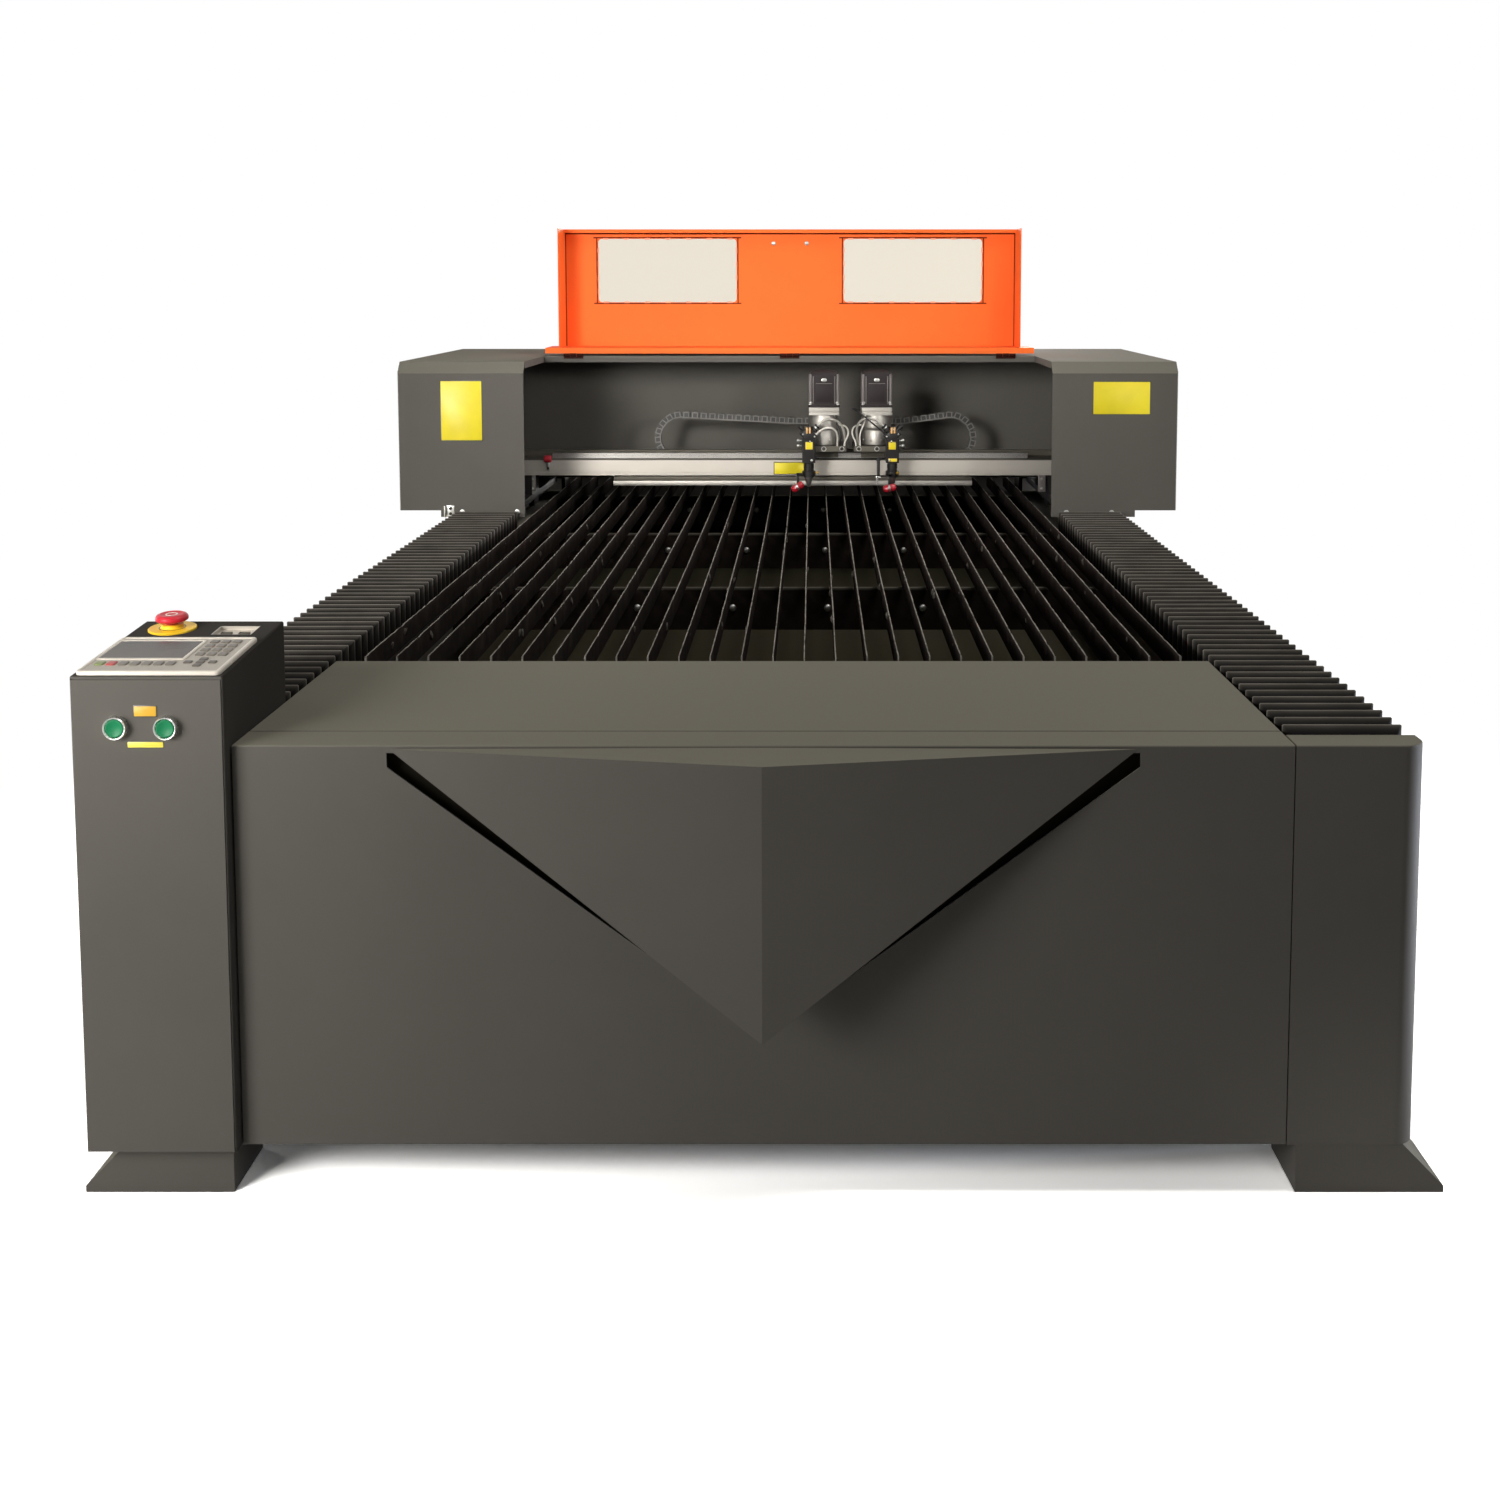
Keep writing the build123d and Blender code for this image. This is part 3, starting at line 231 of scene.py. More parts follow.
def worn_slats():
    """Mild steel strip burnt by the beam: black sides, a rubbed pale top edge, pale front ends that are a
    painted highlight, and grey spatter.
    """
    made, tree, where = finish("scorched strip steel")
    worn = add(tree, "ShaderNodeAttribute", attribute_name="worn").outputs["Fac"]
    patch, soot = patchy(tree, where, 35, linear("#1F1C1B"), linear("#3A3532"), 4.0, 0.65)
    spatter = add(tree, "ShaderNodeTexVoronoi", {"Vector": where, "Scale": 1 / (22 * MM)})
    rubbed = add(tree, "ShaderNodeMapRange", {"Value": patch, "From Min": 0.3, "From Max": 0.6,
                                              "To Min": 0.3})
    edge = add(tree, "ShaderNodeMath", {0: worn, 1: rubbed}, operation="MULTIPLY")
    spots = add(tree, "ShaderNodeMapRange", {"Value": spatter, "From Min": 0.16, "From Max": 0.10})
    few = add(tree, "ShaderNodeMapRange", {"Value": patch, "From Min": 0.55, "From Max": 0.7, "To Max": 0.7})
    dots = add(tree, "ShaderNodeMath", {0: spots, 1: few}, operation="MULTIPLY")
    side = add(tree, "ShaderNodeMix", {"Factor": dots, ONE: soot, OTHER: linear("#5E594F")}, data_type="RGBA")
    colour = add(tree, "ShaderNodeMix", {"Factor": edge, ONE: side, OTHER: linear("#A29D94")},
                 data_type="RGBA")
    skin = add(tree, "ShaderNodeBump", {"Height": patch, "Strength": 0.35, "Distance": 1.0 * MM})
    return close(made, Base_Color=colour, Roughness=0.8, Normal=skin, Specular_IOR_Level=0.0)


def sooty_angle():
    """Hot-rolled angle iron under the slats: black with soot, rubbed grey along its top edge."""
    made, tree, where = finish("sooty angle iron")
    high = add(tree, "ShaderNodeSeparateXYZ", {"Vector": where}).outputs["Z"]
    patch, soot = patchy(tree, where, 50, linear("#1D1816"), linear("#352F2B"), 4.0, 0.65)
    top = add(tree, "ShaderNodeMapRange", {"Value": high, "From Min": 627 * MM, "From Max": 633 * MM})
    rubbed = add(tree, "ShaderNodeMath", {0: top, 1: 0.85}, operation="MULTIPLY")
    colour = add(tree, "ShaderNodeMix", {"Factor": rubbed, ONE: soot, OTHER: linear("#8A857B")},
                 data_type="RGBA")
    skin = add(tree, "ShaderNodeBump", {"Height": patch, "Strength": 0.3, "Distance": 1.0 * MM})
    return close(made, Base_Color=colour, Roughness=0.8, Normal=skin, Specular_IOR_Level=0.0)


def pleated_cloth_painted_shading():
    """PVC-coated cloth of the way covers: a dull weave, with painted light on the ridges and painted shade in
    the valleys.
    """
    made, tree, where = finish("coated bellows cloth with painted pleat shading")
    pleat_light = add(tree, "ShaderNodeAttribute", attribute_name="pleat_light").outputs["Fac"]
    pale = patchy(tree, where, 80, linear("#55514C"), linear("#958F86"), 4.0)[1]
    # The weave is about 0.5 mm; it is drawn 2 mm wide to show.
    weave = add(tree, "ShaderNodeTexNoise", {"Vector": where, "Scale": 1 / (2 * MM), "Detail": 1.0})
    # Painted light and shade: the pleat's light share, sharpened, runs from near black in the valleys to pale
    # on the ridges.
    ridge = add(tree, "ShaderNodeMath", {0: pleat_light, 1: 3.6}, operation="POWER")
    colour = add(tree, "ShaderNodeMix", {"Factor": ridge, ONE: linear("#0B0A0A"), OTHER: pale},
                 data_type="RGBA")
    skin = add(tree, "ShaderNodeBump", {"Height": weave, "Strength": 0.25, "Distance": 0.3 * MM})
    return close(made, Base_Color=colour, Roughness=0.8, Normal=skin, Specular_IOR_Level=0.05)


def display_glass_with_painted_reflection():
    """Unlit display behind a glossy window: grey-brown glass, paler towards its lower edge as a painted
    reflection.
    """
    made, tree, where = finish("display glass with painted reflection")
    along = add(tree, "ShaderNodeSeparateXYZ", {"Vector": where}).outputs["Y"]
    # Painted reflection: the glass is paler towards its lower edge.
    fade = add(tree, "ShaderNodeMapRange", {"Value": along, "From Min": -1.685, "From Max": -1.595})
    cloud = add(tree, "ShaderNodeTexNoise", {"Vector": where, "Scale": 1 / (30 * MM), "Detail": 2.0})
    mixed = add(tree, "ShaderNodeMath", {0: fade, 1: cloud, 2: 0.2}, operation="MULTIPLY_ADD")
    colour = add(tree, "ShaderNodeMix", {"Factor": mixed, ONE: linear("#5E564D"), OTHER: linear("#332E29")},
                 data_type="RGBA")
    return close(made, Base_Color=colour, Roughness=0.2, Specular_IOR_Level=0.12)


grey_coat = powder_coat("grey powder coat", "#5F5C57", "#A3A08E", 0.4, 0.6)
# The cabinet's dark film lies on its top and, as painted shade, on its right-hand side.
cabinet_coat_side_shaded = powder_coat("cabinet powder coat with painted side shade", "#5F5C57", "#363432", 0.85, 0.6, 1.0)
orange_coat = powder_coat("orange powder coat", "#FA7334", "#F6A070", 0.08, 0.5)
# The nibs' paint is a lighter copy of the orange: a painted highlight.
nib_highlight_coat = powder_coat("orange paint lightened as painted highlight", "#F9A582", "#F9A582", 0.1, 0.5)
# The hinges are orange paint darkened to a deep brown: painted shade under the hood's lip.
shaded_hinge_coat = powder_coat("hinge paint darkened as painted shade", "#331610", "#3C2018", 0.1, 0.55)
score_and_shade_paint = powder_coat("dark orange paint for score lines and painted shade", "#6A200D", "#6A2C18", 0.1, 0.55)
tray_coat = powder_coat("sooty tray paint", "#26231C", "#4C4939", 0.6, 0.75)
aluminium = metal("brushed aluminium", "#B3ADA4", 0.52, 0.8, "X", 0.16)
dull_alloy = metal("dull aluminium", "#5C5850", 0.6, 1.5, "X", 0.2)
cast_alloy = metal("machined aluminium", "#A19D96", 0.52, 1.5, "Z", 0.2)
ground_steel = metal("ground steel", "#A7A49F", 0.32, 0.6, "Y", 0.3)
zinc = metal("zinc-plated steel", "#A9A8A3", 0.38, 1.5, "Z", 0.2)
dark_steel = metal("blackened steel", "#3B3732", 0.55, 3.0, "X", 0.5)
brass = metal("brass", "#C9A248", 0.3, 1.0, "Z", 0.2)
chrome = metal("chrome plate", "#D4D4D0", 0.28, 2.0, "Z", 0.1)
bezel_abs = plastic("bezel ABS", "#DDD5C8", 0.4)
panel_film = plastic("keypad film", "#B2AA9E", 0.45)
key_film = plastic("keypad key", "#736D64", 0.42)
dark_key = plastic("dark keypad key", "#5C564F", 0.45)
red_key = plastic("red keypad key", "#B4524E", 0.42)
green_key = plastic("green keypad key", "#7F8B58", 0.42)
black_abs = plastic("black ABS", "#1F1D1C", 0.45, shine=0.3)
black_anodised = plastic("black anodised aluminium", "#1A1817", 0.4, 0.8, 0.06, 0.25)
chain_nylon = plastic("chain nylon", "#2E2C2A", 0.45)
rim_highlight_nylon = plastic("chain nylon lightened as painted highlight", "#6E6B66", 0.5)
motor_enamel = plastic("motor enamel", "#2E2929", 0.5, 2.0, 0.08, 0.12)
rod_enamel = plastic("dark grey enamel", "#6A6462", 0.42, 2.0, 0.06, 0.3)
grey_enamel = plastic("grey enamel", "#77736E", 0.4, 2.0, 0.06, 0.3)
stop_red = plastic("emergency-stop red", "#C62432", 0.38, 1.2, 0.04, 0.3)
stop_yellow = plastic("emergency-stop yellow", "#FFD22C", 0.4, 1.2, 0.04, 0.3)
button_green = plastic("push-button green", "#0C7A4C", 0.4, 1.2, 0.04, 0.25)
wire_grey = plastic("grey cable PVC", "#A9A59D", 0.42)
wire_white = plastic("white wire PVC", "#D8D4CB", 0.42)
wire_black = plastic("black wire PVC", "#1F1D1C", 0.4, shine=0.35)
pointer_red = plastic("red acrylic", "#A81B29", 0.2, 1.2, 0.02)
stop_rubber = plastic("red rubber", "#B21F2E", 0.5)
yellow_vinyl = plastic("yellow vinyl", "#E6D31E", 0.38, 1.0, 0.03)
pale_vinyl = plastic("pale yellow vinyl", "#F3E454", 0.38, 1.0, 0.03)
amber_vinyl = plastic("amber vinyl", "#E2AE30", 0.38, 1.0, 0.03)
dark_vinyl = plastic("dark vinyl", "#3A3425", 0.4, 1.0, 0.03)
amber_resin = plastic("amber resin", "#D9A867", 0.3, 1.0, 0.04)
slag = plastic("slag crust", "#4E4942", 0.85, 3.0, 0.5)
acrylic = glazing("clear acrylic", "#EBE2D2", 0.02, 1.49)
tube_glass = glazing("tube glass", "#EEF6F4", 0.01, 1.47)
slat_steel = worn_slats()
angle_iron = sooty_angle()
cloth = pleated_cloth_painted_shading()
display = display_glass_with_painted_reflection()

coats = {
    grey_coat: ("front_panel", "fascia", "front_deck", "right_post", "side_beams", "side_panels",
                "rear_panel", "legs", "feet", "housing_left", "housing_right", "top_cover", "alcove_wall"),
    cabinet_coat_side_shaded: ("control_cabinet",), orange_coat: ("hood_pan",), tray_coat: ("slag_tray",),
    shaded_hinge_coat: ("hinge_leaves",), aluminium: ("cross_beam", "lower_bar", "port_panel"),
    dull_alloy: ("left_carriage", "right_carriage"), cast_alloy: ("left_drive_module", "right_drive_module"),
    ground_steel: ("y_rails", "y_racks", "x_rail", "y_drive_shaft", "left_lens_tube", "right_lens_tube"),
    zinc: ("support_bolts", "exhaust_spigots"), chrome: ("button_bezels",),
    angle_iron: ("blade_supports",), slat_steel: ("bed_blades",),
    cloth: ("front_cover_left", "front_cover_right", "rear_cover_left", "rear_cover_right"),
    bezel_abs: ("console_bezel",), key_film: ("keypad_keys",), display: ("lcd_glass",),
    stop_yellow: ("estop_collar",), stop_red: ("estop_button",),
    button_green: ("start_button_left", "start_button_right"), black_abs: ("tube_holders",),
    black_anodised: ("left_mirror_head", "right_mirror_head", "y_carriages"),
    motor_enamel: ("y_motor", "left_motor", "right_motor"),
    chain_nylon: ("left_cable_chain", "right_cable_chain"), wire_grey: ("left_cable", "right_cable"),
    stop_rubber: ("end_stop",), acrylic: ("hood_windows",), tube_glass: ("laser_tubes",),
}
for coat, names in coats.items():
    for name in names:
        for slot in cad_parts[name].material_slots:
            slot.material = coat


# Shapes, in millimetres

def rounded(width, depth, radius, steps):
    """The outline of a round-cornered rectangle about its middle."""
    radius = max(min(radius, width / 2 - 0.01, depth / 2 - 0.01), 0.05)
    points = []
    for quarter, (sx, sy) in enumerate(((1, 1), (-1, 1), (-1, -1), (1, -1))):
        for n in range(steps + 1):
            angle = math.pi / 2 * (quarter + n / steps)
            points.append((sx * (width / 2 - radius) + radius * math.cos(angle),
                           sy * (depth / 2 - radius) + radius * math.sin(angle)))
    return points


def lofted(loops, ring=False):
    """A closed shape through loops of points: capped at its ends, or joined round as a ring."""
    part = bmesh.new()
    rows = [[part.verts.new(point) for point in loop] for loop in loops]
    for low, high in list(zip(rows, rows[1:])) + ([(rows[-1], rows[0])] if ring else []):
        for n in range(len(low)):
            m = (n + 1) % len(low)
            part.faces.new((low[n], low[m], high[m], high[n]))
    if not ring:
        part.faces.new(rows[0])
        part.faces.new(rows[-1])
    bmesh.ops.recalc_face_normals(part, faces=part.faces)
    return part


def pressed(width, depth, radius, levels, ring=False, steps=4):
    """A round-cornered shape built up through levels of (inset, height)."""
    loops = []
    for inset, high in levels:
        outline = rounded(width - 2 * inset, depth - 2 * inset, radius - inset, steps)
        loops.append([(x, y, high) for x, y in outline])
    return lofted(loops, ring)


def turned(profile, ring=False, steps=32):
    """A round shape about Z, through (radius, height) points."""
    circle = [(math.cos(math.tau * n / steps), math.sin(math.tau * n / steps)) for n in range(steps)]
    return lofted([[(radius * c, radius * s, high) for c, s in circle] for radius, high in profile], ring)


def drawn(outline, x):
    """A (Y, Z) outline drawn out along X."""
    return lofted([[(end, y, z) for y, z in outline] for end in x])


def slab(x, y, z, edge=0.8):
    """A block from its ranges, with its edges eased."""
    part = bmesh.new()
    bmesh.ops.create_cube(part, size=1.0)
    for vert in part.verts:
        vert.co = [(r[0] + r[1]) / 2 + c * (r[1] - r[0]) for c, r in zip(vert.co, (x, y, z))]
    if edge:
        bmesh.ops.bevel(part, geom=part.edges, offset=edge, segments=2, profile=0.5, affect="EDGES",
                        clamp_overlap=True)
    return part


def button_screw(radius):
    """A button-head screw with a socket."""
    profile = ((1, 0), (1, 0.25), (0.85, 0.55), (0.5, 0.7), (0.42, 0.7), (0.36, 0.3))
    return turned([(r * radius, z * radius) for r, z in profile], steps=12)


def move(x, y, z):
    return Matrix.Translation((x, y, z))


def tilt(angle, axis):
    return Matrix.Rotation(math.radians(angle), 4, axis)


FACING_FRONT = tilt(90, "X")
FRONT, BACK, LEFT, RIGHT, UP = (0, -1, 0), (0, 1, 0), (-1, 0, 0), (1, 0, 0), (0, 0, 1)


def screw(radius, coat, spot):
    """A button-head screw that faces the front, as a part."""
    return button_screw(radius), coat, spot @ FACING_FRONT


def joined(parts):
    """One shape, and its finishes, from parts: each a shape, its finish, and its place if it has to be moved.

    A shape with faces in two finishes comes with both, and its faces are numbered for them.
    """
    piece, finishes = bmesh.new(), []
    for shape, coats, *spot in parts:
        coats = coats if isinstance(coats, tuple) else (coats,)
        finishes += [coat for coat in coats if coat not in finishes]
        bmesh.ops.transform(shape, matrix=spot[0] if spot else Matrix(), verts=shape.verts)
        for face in shape.faces:
            face.material_index = finishes.index(coats[face.material_index])
        flat = bpy.data.meshes.new("part")
        shape.to_mesh(flat)
        shape.free()
        piece.from_mesh(flat)
        bpy.data.meshes.remove(flat)
    return piece, finishes


def to_mesh(name, piece):
    """A mesh in the model's metres, smooth but for its sharper edges."""
    for vert in piece.verts:
        vert.co = place(*vert.co)
    mesh = bpy.data.meshes.new(name)
    piece.to_mesh(mesh)
    piece.free()
    mesh.shade_smooth()
    mesh.set_sharp_from_angle(angle=math.radians(CREASE))
    return mesh


def settle(name, mesh, finishes, body, stands_for=()):
    """A finished mesh in the scene: its coats, the body it moves with and the nodes it stands for."""
    for coat in finishes:
        mesh.materials.append(coat)
    made = shown(name, mesh)
    if body:
        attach(made, body)
    if stands_for:
        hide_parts(*stands_for)
    return made


def make(name, parts, body, stands_for=()):
    """A finished piece from its parts."""
    piece, finishes = joined(parts)
    settle(name, to_mesh(name, piece), finishes, body, stands_for)


# Geometry Nodes: copies in a row, copies on points, and copies along a line

def growing_tree(name, sizes):
    """An empty tree with named inputs, and the sockets of its input node."""
    tree = bpy.data.node_groups.new(name, "GeometryNodeTree")
    tree.interface.new_socket("Geometry", in_out="OUTPUT", socket_type="NodeSocketGeometry")
    for label, kind in {"Geometry": "Geometry", **sizes, "Finish": "Material"}.items():
        tree.interface.new_socket(label, in_out="INPUT", socket_type="NodeSocket" + kind)
    return tree, add(tree, "NodeGroupInput").outputs


def harvest(tree, copies, given):
    """Ends a tree: real geometry in one finish."""
    real = add(tree, "GeometryNodeRealizeInstances", {"Geometry": copies})
    coated = add(tree, "GeometryNodeSetMaterial", {"Geometry": real, "Material": given["Finish"]})
    add(tree, "NodeGroupOutput", {"Geometry": coated})
    return tree


def set_out(tree, given, points, turn):
    """Ends a tree with copies of its shape on points, each turned."""
    shape = add(tree, "GeometryNodeObjectInfo", {"Object": given["Shape"]}).outputs["Geometry"]
    copies = add(tree, "GeometryNodeInstanceOnPoints", {"Points": points, "Instance": shape,
                                                        "Rotation": turn})
    return harvest(tree, copies, given)


def row_tree():
    """Copies in a straight row, each bent a little out of line by noise."""
    tree, given = growing_tree("row of copies", {"Count": "Int", "Step": "Vector", "Wobble": "Vector"})
    line = add(tree, "GeometryNodeMeshLine", {"Count": given["Count"], "Offset": given["Step"]},
               mode="OFFSET")
    copies = add(tree, "GeometryNodeInstanceOnPoints", {"Points": line, "Instance": given["Geometry"]})
    real = add(tree, "GeometryNodeRealizeInstances", {"Geometry": copies})
    drift = add(tree, "ShaderNodeTexNoise", {"Scale": 1 / (250 * MM), "Detail": 1.0}, noise_dimensions="3D")
    swing = add(tree, "ShaderNodeVectorMath", {0: drift.outputs["Color"], 1: (0.5, 0.5, 0.5)},
                operation="SUBTRACT")
    push = add(tree, "ShaderNodeVectorMath", {0: swing, 1: given["Wobble"]}, operation="MULTIPLY")
    bent = add(tree, "GeometryNodeSetPosition", {"Geometry": real, "Offset": push})
    return harvest(tree, bent, given)


def scatter_tree():
    """Copies of a shape on points, each turned to face as its point does."""
    tree, given = growing_tree("copies on points", {"Shape": "Object"})
    facing = add(tree, "GeometryNodeInputNamedAttribute", {"Name": "facing"}, data_type="FLOAT_VECTOR")
    turn = add(tree, "FunctionNodeAlignRotationToVector", {"Vector": facing}, axis="Z")
    return set_out(tree, given, given["Geometry"], turn)


def link_tree():
    """Chain links along a line that lies in the XZ plane."""
    tree, given = growing_tree("links along a line", {"Shape": "Object", "Pitch": "Float"})
    line = add(tree, "GeometryNodeMeshToCurve", {"Mesh": given["Geometry"]})
    spaced = add(tree, "GeometryNodeResampleCurve", {"Curve": line, "Length": given["Pitch"]}, mode="LENGTH")
    tangent = add(tree, "GeometryNodeInputTangent")
    along = add(tree, "FunctionNodeAlignRotationToVector", {"Vector": tangent}, axis="X")
    level = add(tree, "FunctionNodeAlignRotationToVector", {"Rotation": along, "Vector": (0.0, 1.0, 0.0)},
                axis="Y", pivot_axis="X")
    return set_out(tree, given, spaced, level)


IN_A_ROW, ON_POINTS, ALONG_A_LINE = row_tree(), scatter_tree(), link_tree()


def grown(start, tree, values, thick=0.0):
    """The plain mesh that a tree makes of a starting mesh."""
    holder = shown("start", start)
    step = holder.modifiers.new("grow", "NODES")
    step.node_group = tree
    for item in tree.interface.items_tree:
        if item.in_out == "INPUT" and item.name in values:
            step[item.identifier] = values[item.name]
    if thick:
        wall = holder.modifiers.new("wall", "SOLIDIFY")
        wall.thickness = thick * MM
        wall.offset = -1.0
    graph = bpy.context.evaluated_depsgraph_get()
    ready = holder.evaluated_get(graph)
    mesh = bpy.data.meshes.new_from_object(ready, preserve_all_data_layers=True, depsgraph=graph)
    holder.modifiers.clear()
    bpy.data.objects.remove(holder)
    mesh.materials.clear()
    mesh.shade_smooth()
    mesh.set_sharp_from_angle(angle=math.radians(CREASE))
    return mesh


def small_shape(part):
    """A shape to be copied, as an object of its own."""
    mesh = bpy.data.meshes.new("shape")
    bmesh.ops.scale(part, vec=(MM, MM, MM), verts=part.verts)
    part.to_mesh(mesh)
    part.free()
    return shown("shape", mesh)


def scattered(name, part, spots, facings, coat, body, stands_for=()):
    """Copies of a small shape at spots on the machine, which take the ways to face in turn."""
    shape = small_shape(part)
    start = bpy.data.meshes.new("points")
    start.from_pydata([place(*spot) for spot in spots], [], [])
    facing = start.attributes.new("facing", "FLOAT_VECTOR", "POINT")
    ways = [facings[n % len(facings)] for n in range(len(spots))]
    facing.data.foreach_set("vector", [value for way in ways for value in way])
    mesh = grown(start, ON_POINTS, {"Shape": shape, "Finish": coat})
    bpy.data.objects.remove(shape)
    settle(name, mesh, [coat], body, stands_for)


# Cords: the cables and wires between each mirror block, its drive module and its carriage

LEFT_CABLE_ROUTE = ((86.58, 2717, 906.58), (101, 2717, 921), (124, 2718, 928), (147, 2725, 921),
                    (162, 2737, 902), (169, 2752, 873.5), (169, 2760, 842.9))
RIGHT_CABLE_ROUTE = ((285.42, 2717, 906.58), (271, 2717, 921), (248, 2714, 930), (224, 2716, 928),
                     (209, 2727, 913), (204, 2742, 890), (208, 2756, 866), (210, 2762, 842.9))
LEFT_LEAD_ROUTE = ((81, 2709, 881.2), (92, 2709, 892.2), (110, 2708, 901), (129, 2712, 901),
                   (142, 2720, 891), (147, 2731, 875), (147, 2742, 858), (146, 2748, 843.2))
RIGHT_LEAD_ROUTE = ((217.8, 2768, 950.1), (205, 2768, 953), (194, 2757, 957), (192, 2741, 958),
                    (201, 2725, 954), (217, 2713, 944), (234, 2705, 931), (250, 2702, 917.5),
                    (266, 2703, 904), (279.5, 2706, 892.5), (290.8, 2708, 881.3))
SIDE_WIRE_ROUTE = ((151.8, 2786, 903), (164, 2786, 903), (176, 2779, 897), (181, 2767, 883),
                   (177, 2755, 868), (169.5, 2748, 856), (168, 2747, 842.4))
CAP_WIRE_ROUTE = ((141, 2747, 936.9), (141, 2747, 923), (146, 2740, 907), (154, 2733, 890),
                  (158, 2734, 872), (156, 2741, 857), (156, 2742, 842.3))


def opposite(x):
    """The right head's X for an X on the left head."""
    return 2 * HEADS_MIRROR_X - x


def twin(route):
    """The right head's route for a route on the left head."""
    return [(opposite(x), y, z) for x, y, z in route]


def cable(name, route, body, node, radius, coat):
    """A free cable on one smooth spline through the route's points."""
    line = bpy.data.curves.new(name, "CURVE")
    line.dimensions = "3D"
    line.bevel_depth = radius * MM
    line.bevel_resolution = 4
    line.resolution_u = 16
    line.use_fill_caps = True
    spline = line.splines.new("NURBS")
    spline.points.add(len(route) - 1)
    for point, spot in zip(spline.points, route):
        point.co = (*place(*spot), 1.0)
    spline.order_u = 3
    spline.use_endpoint_u = True
    line.materials.append(coat)
    made = shown(name, line)
    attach(made, body)
    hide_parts(node)


for label, run, route, radius, length, coat in (
        ("left", "cable", LEFT_CABLE_ROUTE, 3.5, 0.158, wire_grey),
        ("left", "lead", LEFT_LEAD_ROUTE, 3.0, 0.127, wire_white),
        ("left", "side_wire", SIDE_WIRE_ROUTE, 2.5, 0.093, wire_white),
        ("left", "cap_wire", CAP_WIRE_ROUTE, 2.5, 0.1, wire_black),
        ("right", "cable", RIGHT_CABLE_ROUTE, 3.5, 0.17, wire_grey),
        ("right", "lead", RIGHT_LEAD_ROUTE, 2.5, 0.183, wire_black),
        ("right", "side_wire", twin(SIDE_WIRE_ROUTE), 2.5, 0.093, wire_white),
        ("right", "cap_wire", twin(CAP_WIRE_ROUTE), 2.5, 0.1, wire_white)):
    cable(f"{label}_{run}_run", route, f"{label}_head", f"{label}_cable", radius, coat)


# Way covers: pleated cloth over the rails, on both sides of the gantry

def pleat(side, pitch):
    """One pleat of a cover, from valley over ridge to valley."""
    piece = bmesh.new()
    pleat_light = piece.verts.layers.float.new("pleat_light")
    rows = []
    # Each row's last value is its share of painted light: pale on the ridge, down to painted shade in the
    # valleys.
    for share, inset, ridge in ((0.0, 14.0, 0.0), (0.44, 1.0, 0.75), (0.48, 0.0, 1.0), (0.52, 0.0, 1.0),
                                (0.56, 1.0, 0.6), (1.0, 14.0, 0.0)):
        inner, outer = COVER_X[0] + 0.8 * inset, COVER_X[1] - inset
        foot, top = COVER_Z[0], COVER_Z[1] - inset
        outline = ((inner, foot), (inner, top - 1), (inner + 1, top), (outer - 1, top), (outer, top - 1),
                   (outer, foot))
        row = [piece.verts.new((side * x, share * pitch, z)) for x, z in outline]
        for vert in row:
            vert[pleat_light] = ridge
        # The inner foot of each row is darker: painted shade.
        row[0][pleat_light] = 0.4 * ridge
        rows.append(row)
    for low, high in zip(rows, rows[1:]):
        for n in range(len(low) - 1):
            corners = (low[n], low[n + 1], high[n + 1], high[n])
            piece.faces.new(corners if side < 0 else reversed(corners))
    return piece


def way_cover(name, side, y, pleats):
    """A cover between two points along the machine, as a plain mesh."""
    pitch = (y[1] - y[0]) / pleats
    start = pleat(side, pitch)
    bmesh.ops.translate(start, vec=(0, y[0], 0), verts=start.verts)
    mesh = grown(to_mesh(name, start), IN_A_ROW,
                 {"Count": pleats, "Step": (0.0, pitch * MM, 0.0), "Wobble": (1.5 * MM, 0.0, 1.5 * MM),
                  "Finish": cloth}, thick=1.0)
    mesh.set_sharp_from_angle(angle=math.radians(COVER_CREASE))
    return mesh


for side, label, front, pleats in ((-1, "left", 266.0, 50), (1, "right", 61.0, 55)):
    x, z = side * COVER_MIDDLE[0], COVER_MIDDLE[1]
    name = f"front_bellows_{label}"
    mesh = way_cover(name, side, (front, FRONT_COVER_END), pleats)
    cover = settle(name, mesh, [cloth], "bed", [f"front_cover_{label}"])
    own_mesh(cover)
    name = f"rear_bellows_{label}"
    mesh = way_cover(name, side, REAR_COVER_Y, 45)
    cover = settle(name, mesh, [cloth], None, [f"rear_cover_{label}"])
    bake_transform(cover)


# Bed: scorched slats on their supports, with spatter

def slat():
    """The first slat, at the machine's left, in short lengths so that it can bend."""
    outline = ((-1.3, SLAT_FOOT), (1.3, SLAT_FOOT), (1.3, SLAT_SHOULDER), (0.9, SLAT_TOP), (-0.9, SLAT_TOP),
               (-1.3, SLAT_SHOULDER))
    lengths = [SLAT_Y[0], SLAT_Y[0] + 1.5] + [600.0 + 20.0 * n for n in range(142)] + [SLAT_Y[1]]
    first = -SLAT_STEP * SLATS_BESIDE
    piece = lofted([[(first + x, y, z) for x, z in outline] for y in lengths])
    worn = piece.verts.layers.float.new("worn")
    for vert in piece.verts:
        # The top is rubbed pale; the front ends are painted pale as a painted highlight.
        painted_end_highlight = 0.9 if vert.co.y < lengths[2] else 0.0
        vert[worn] = 1.0 if vert.co.z > SLAT_SHOULDER + 1 else painted_end_highlight
    return piece


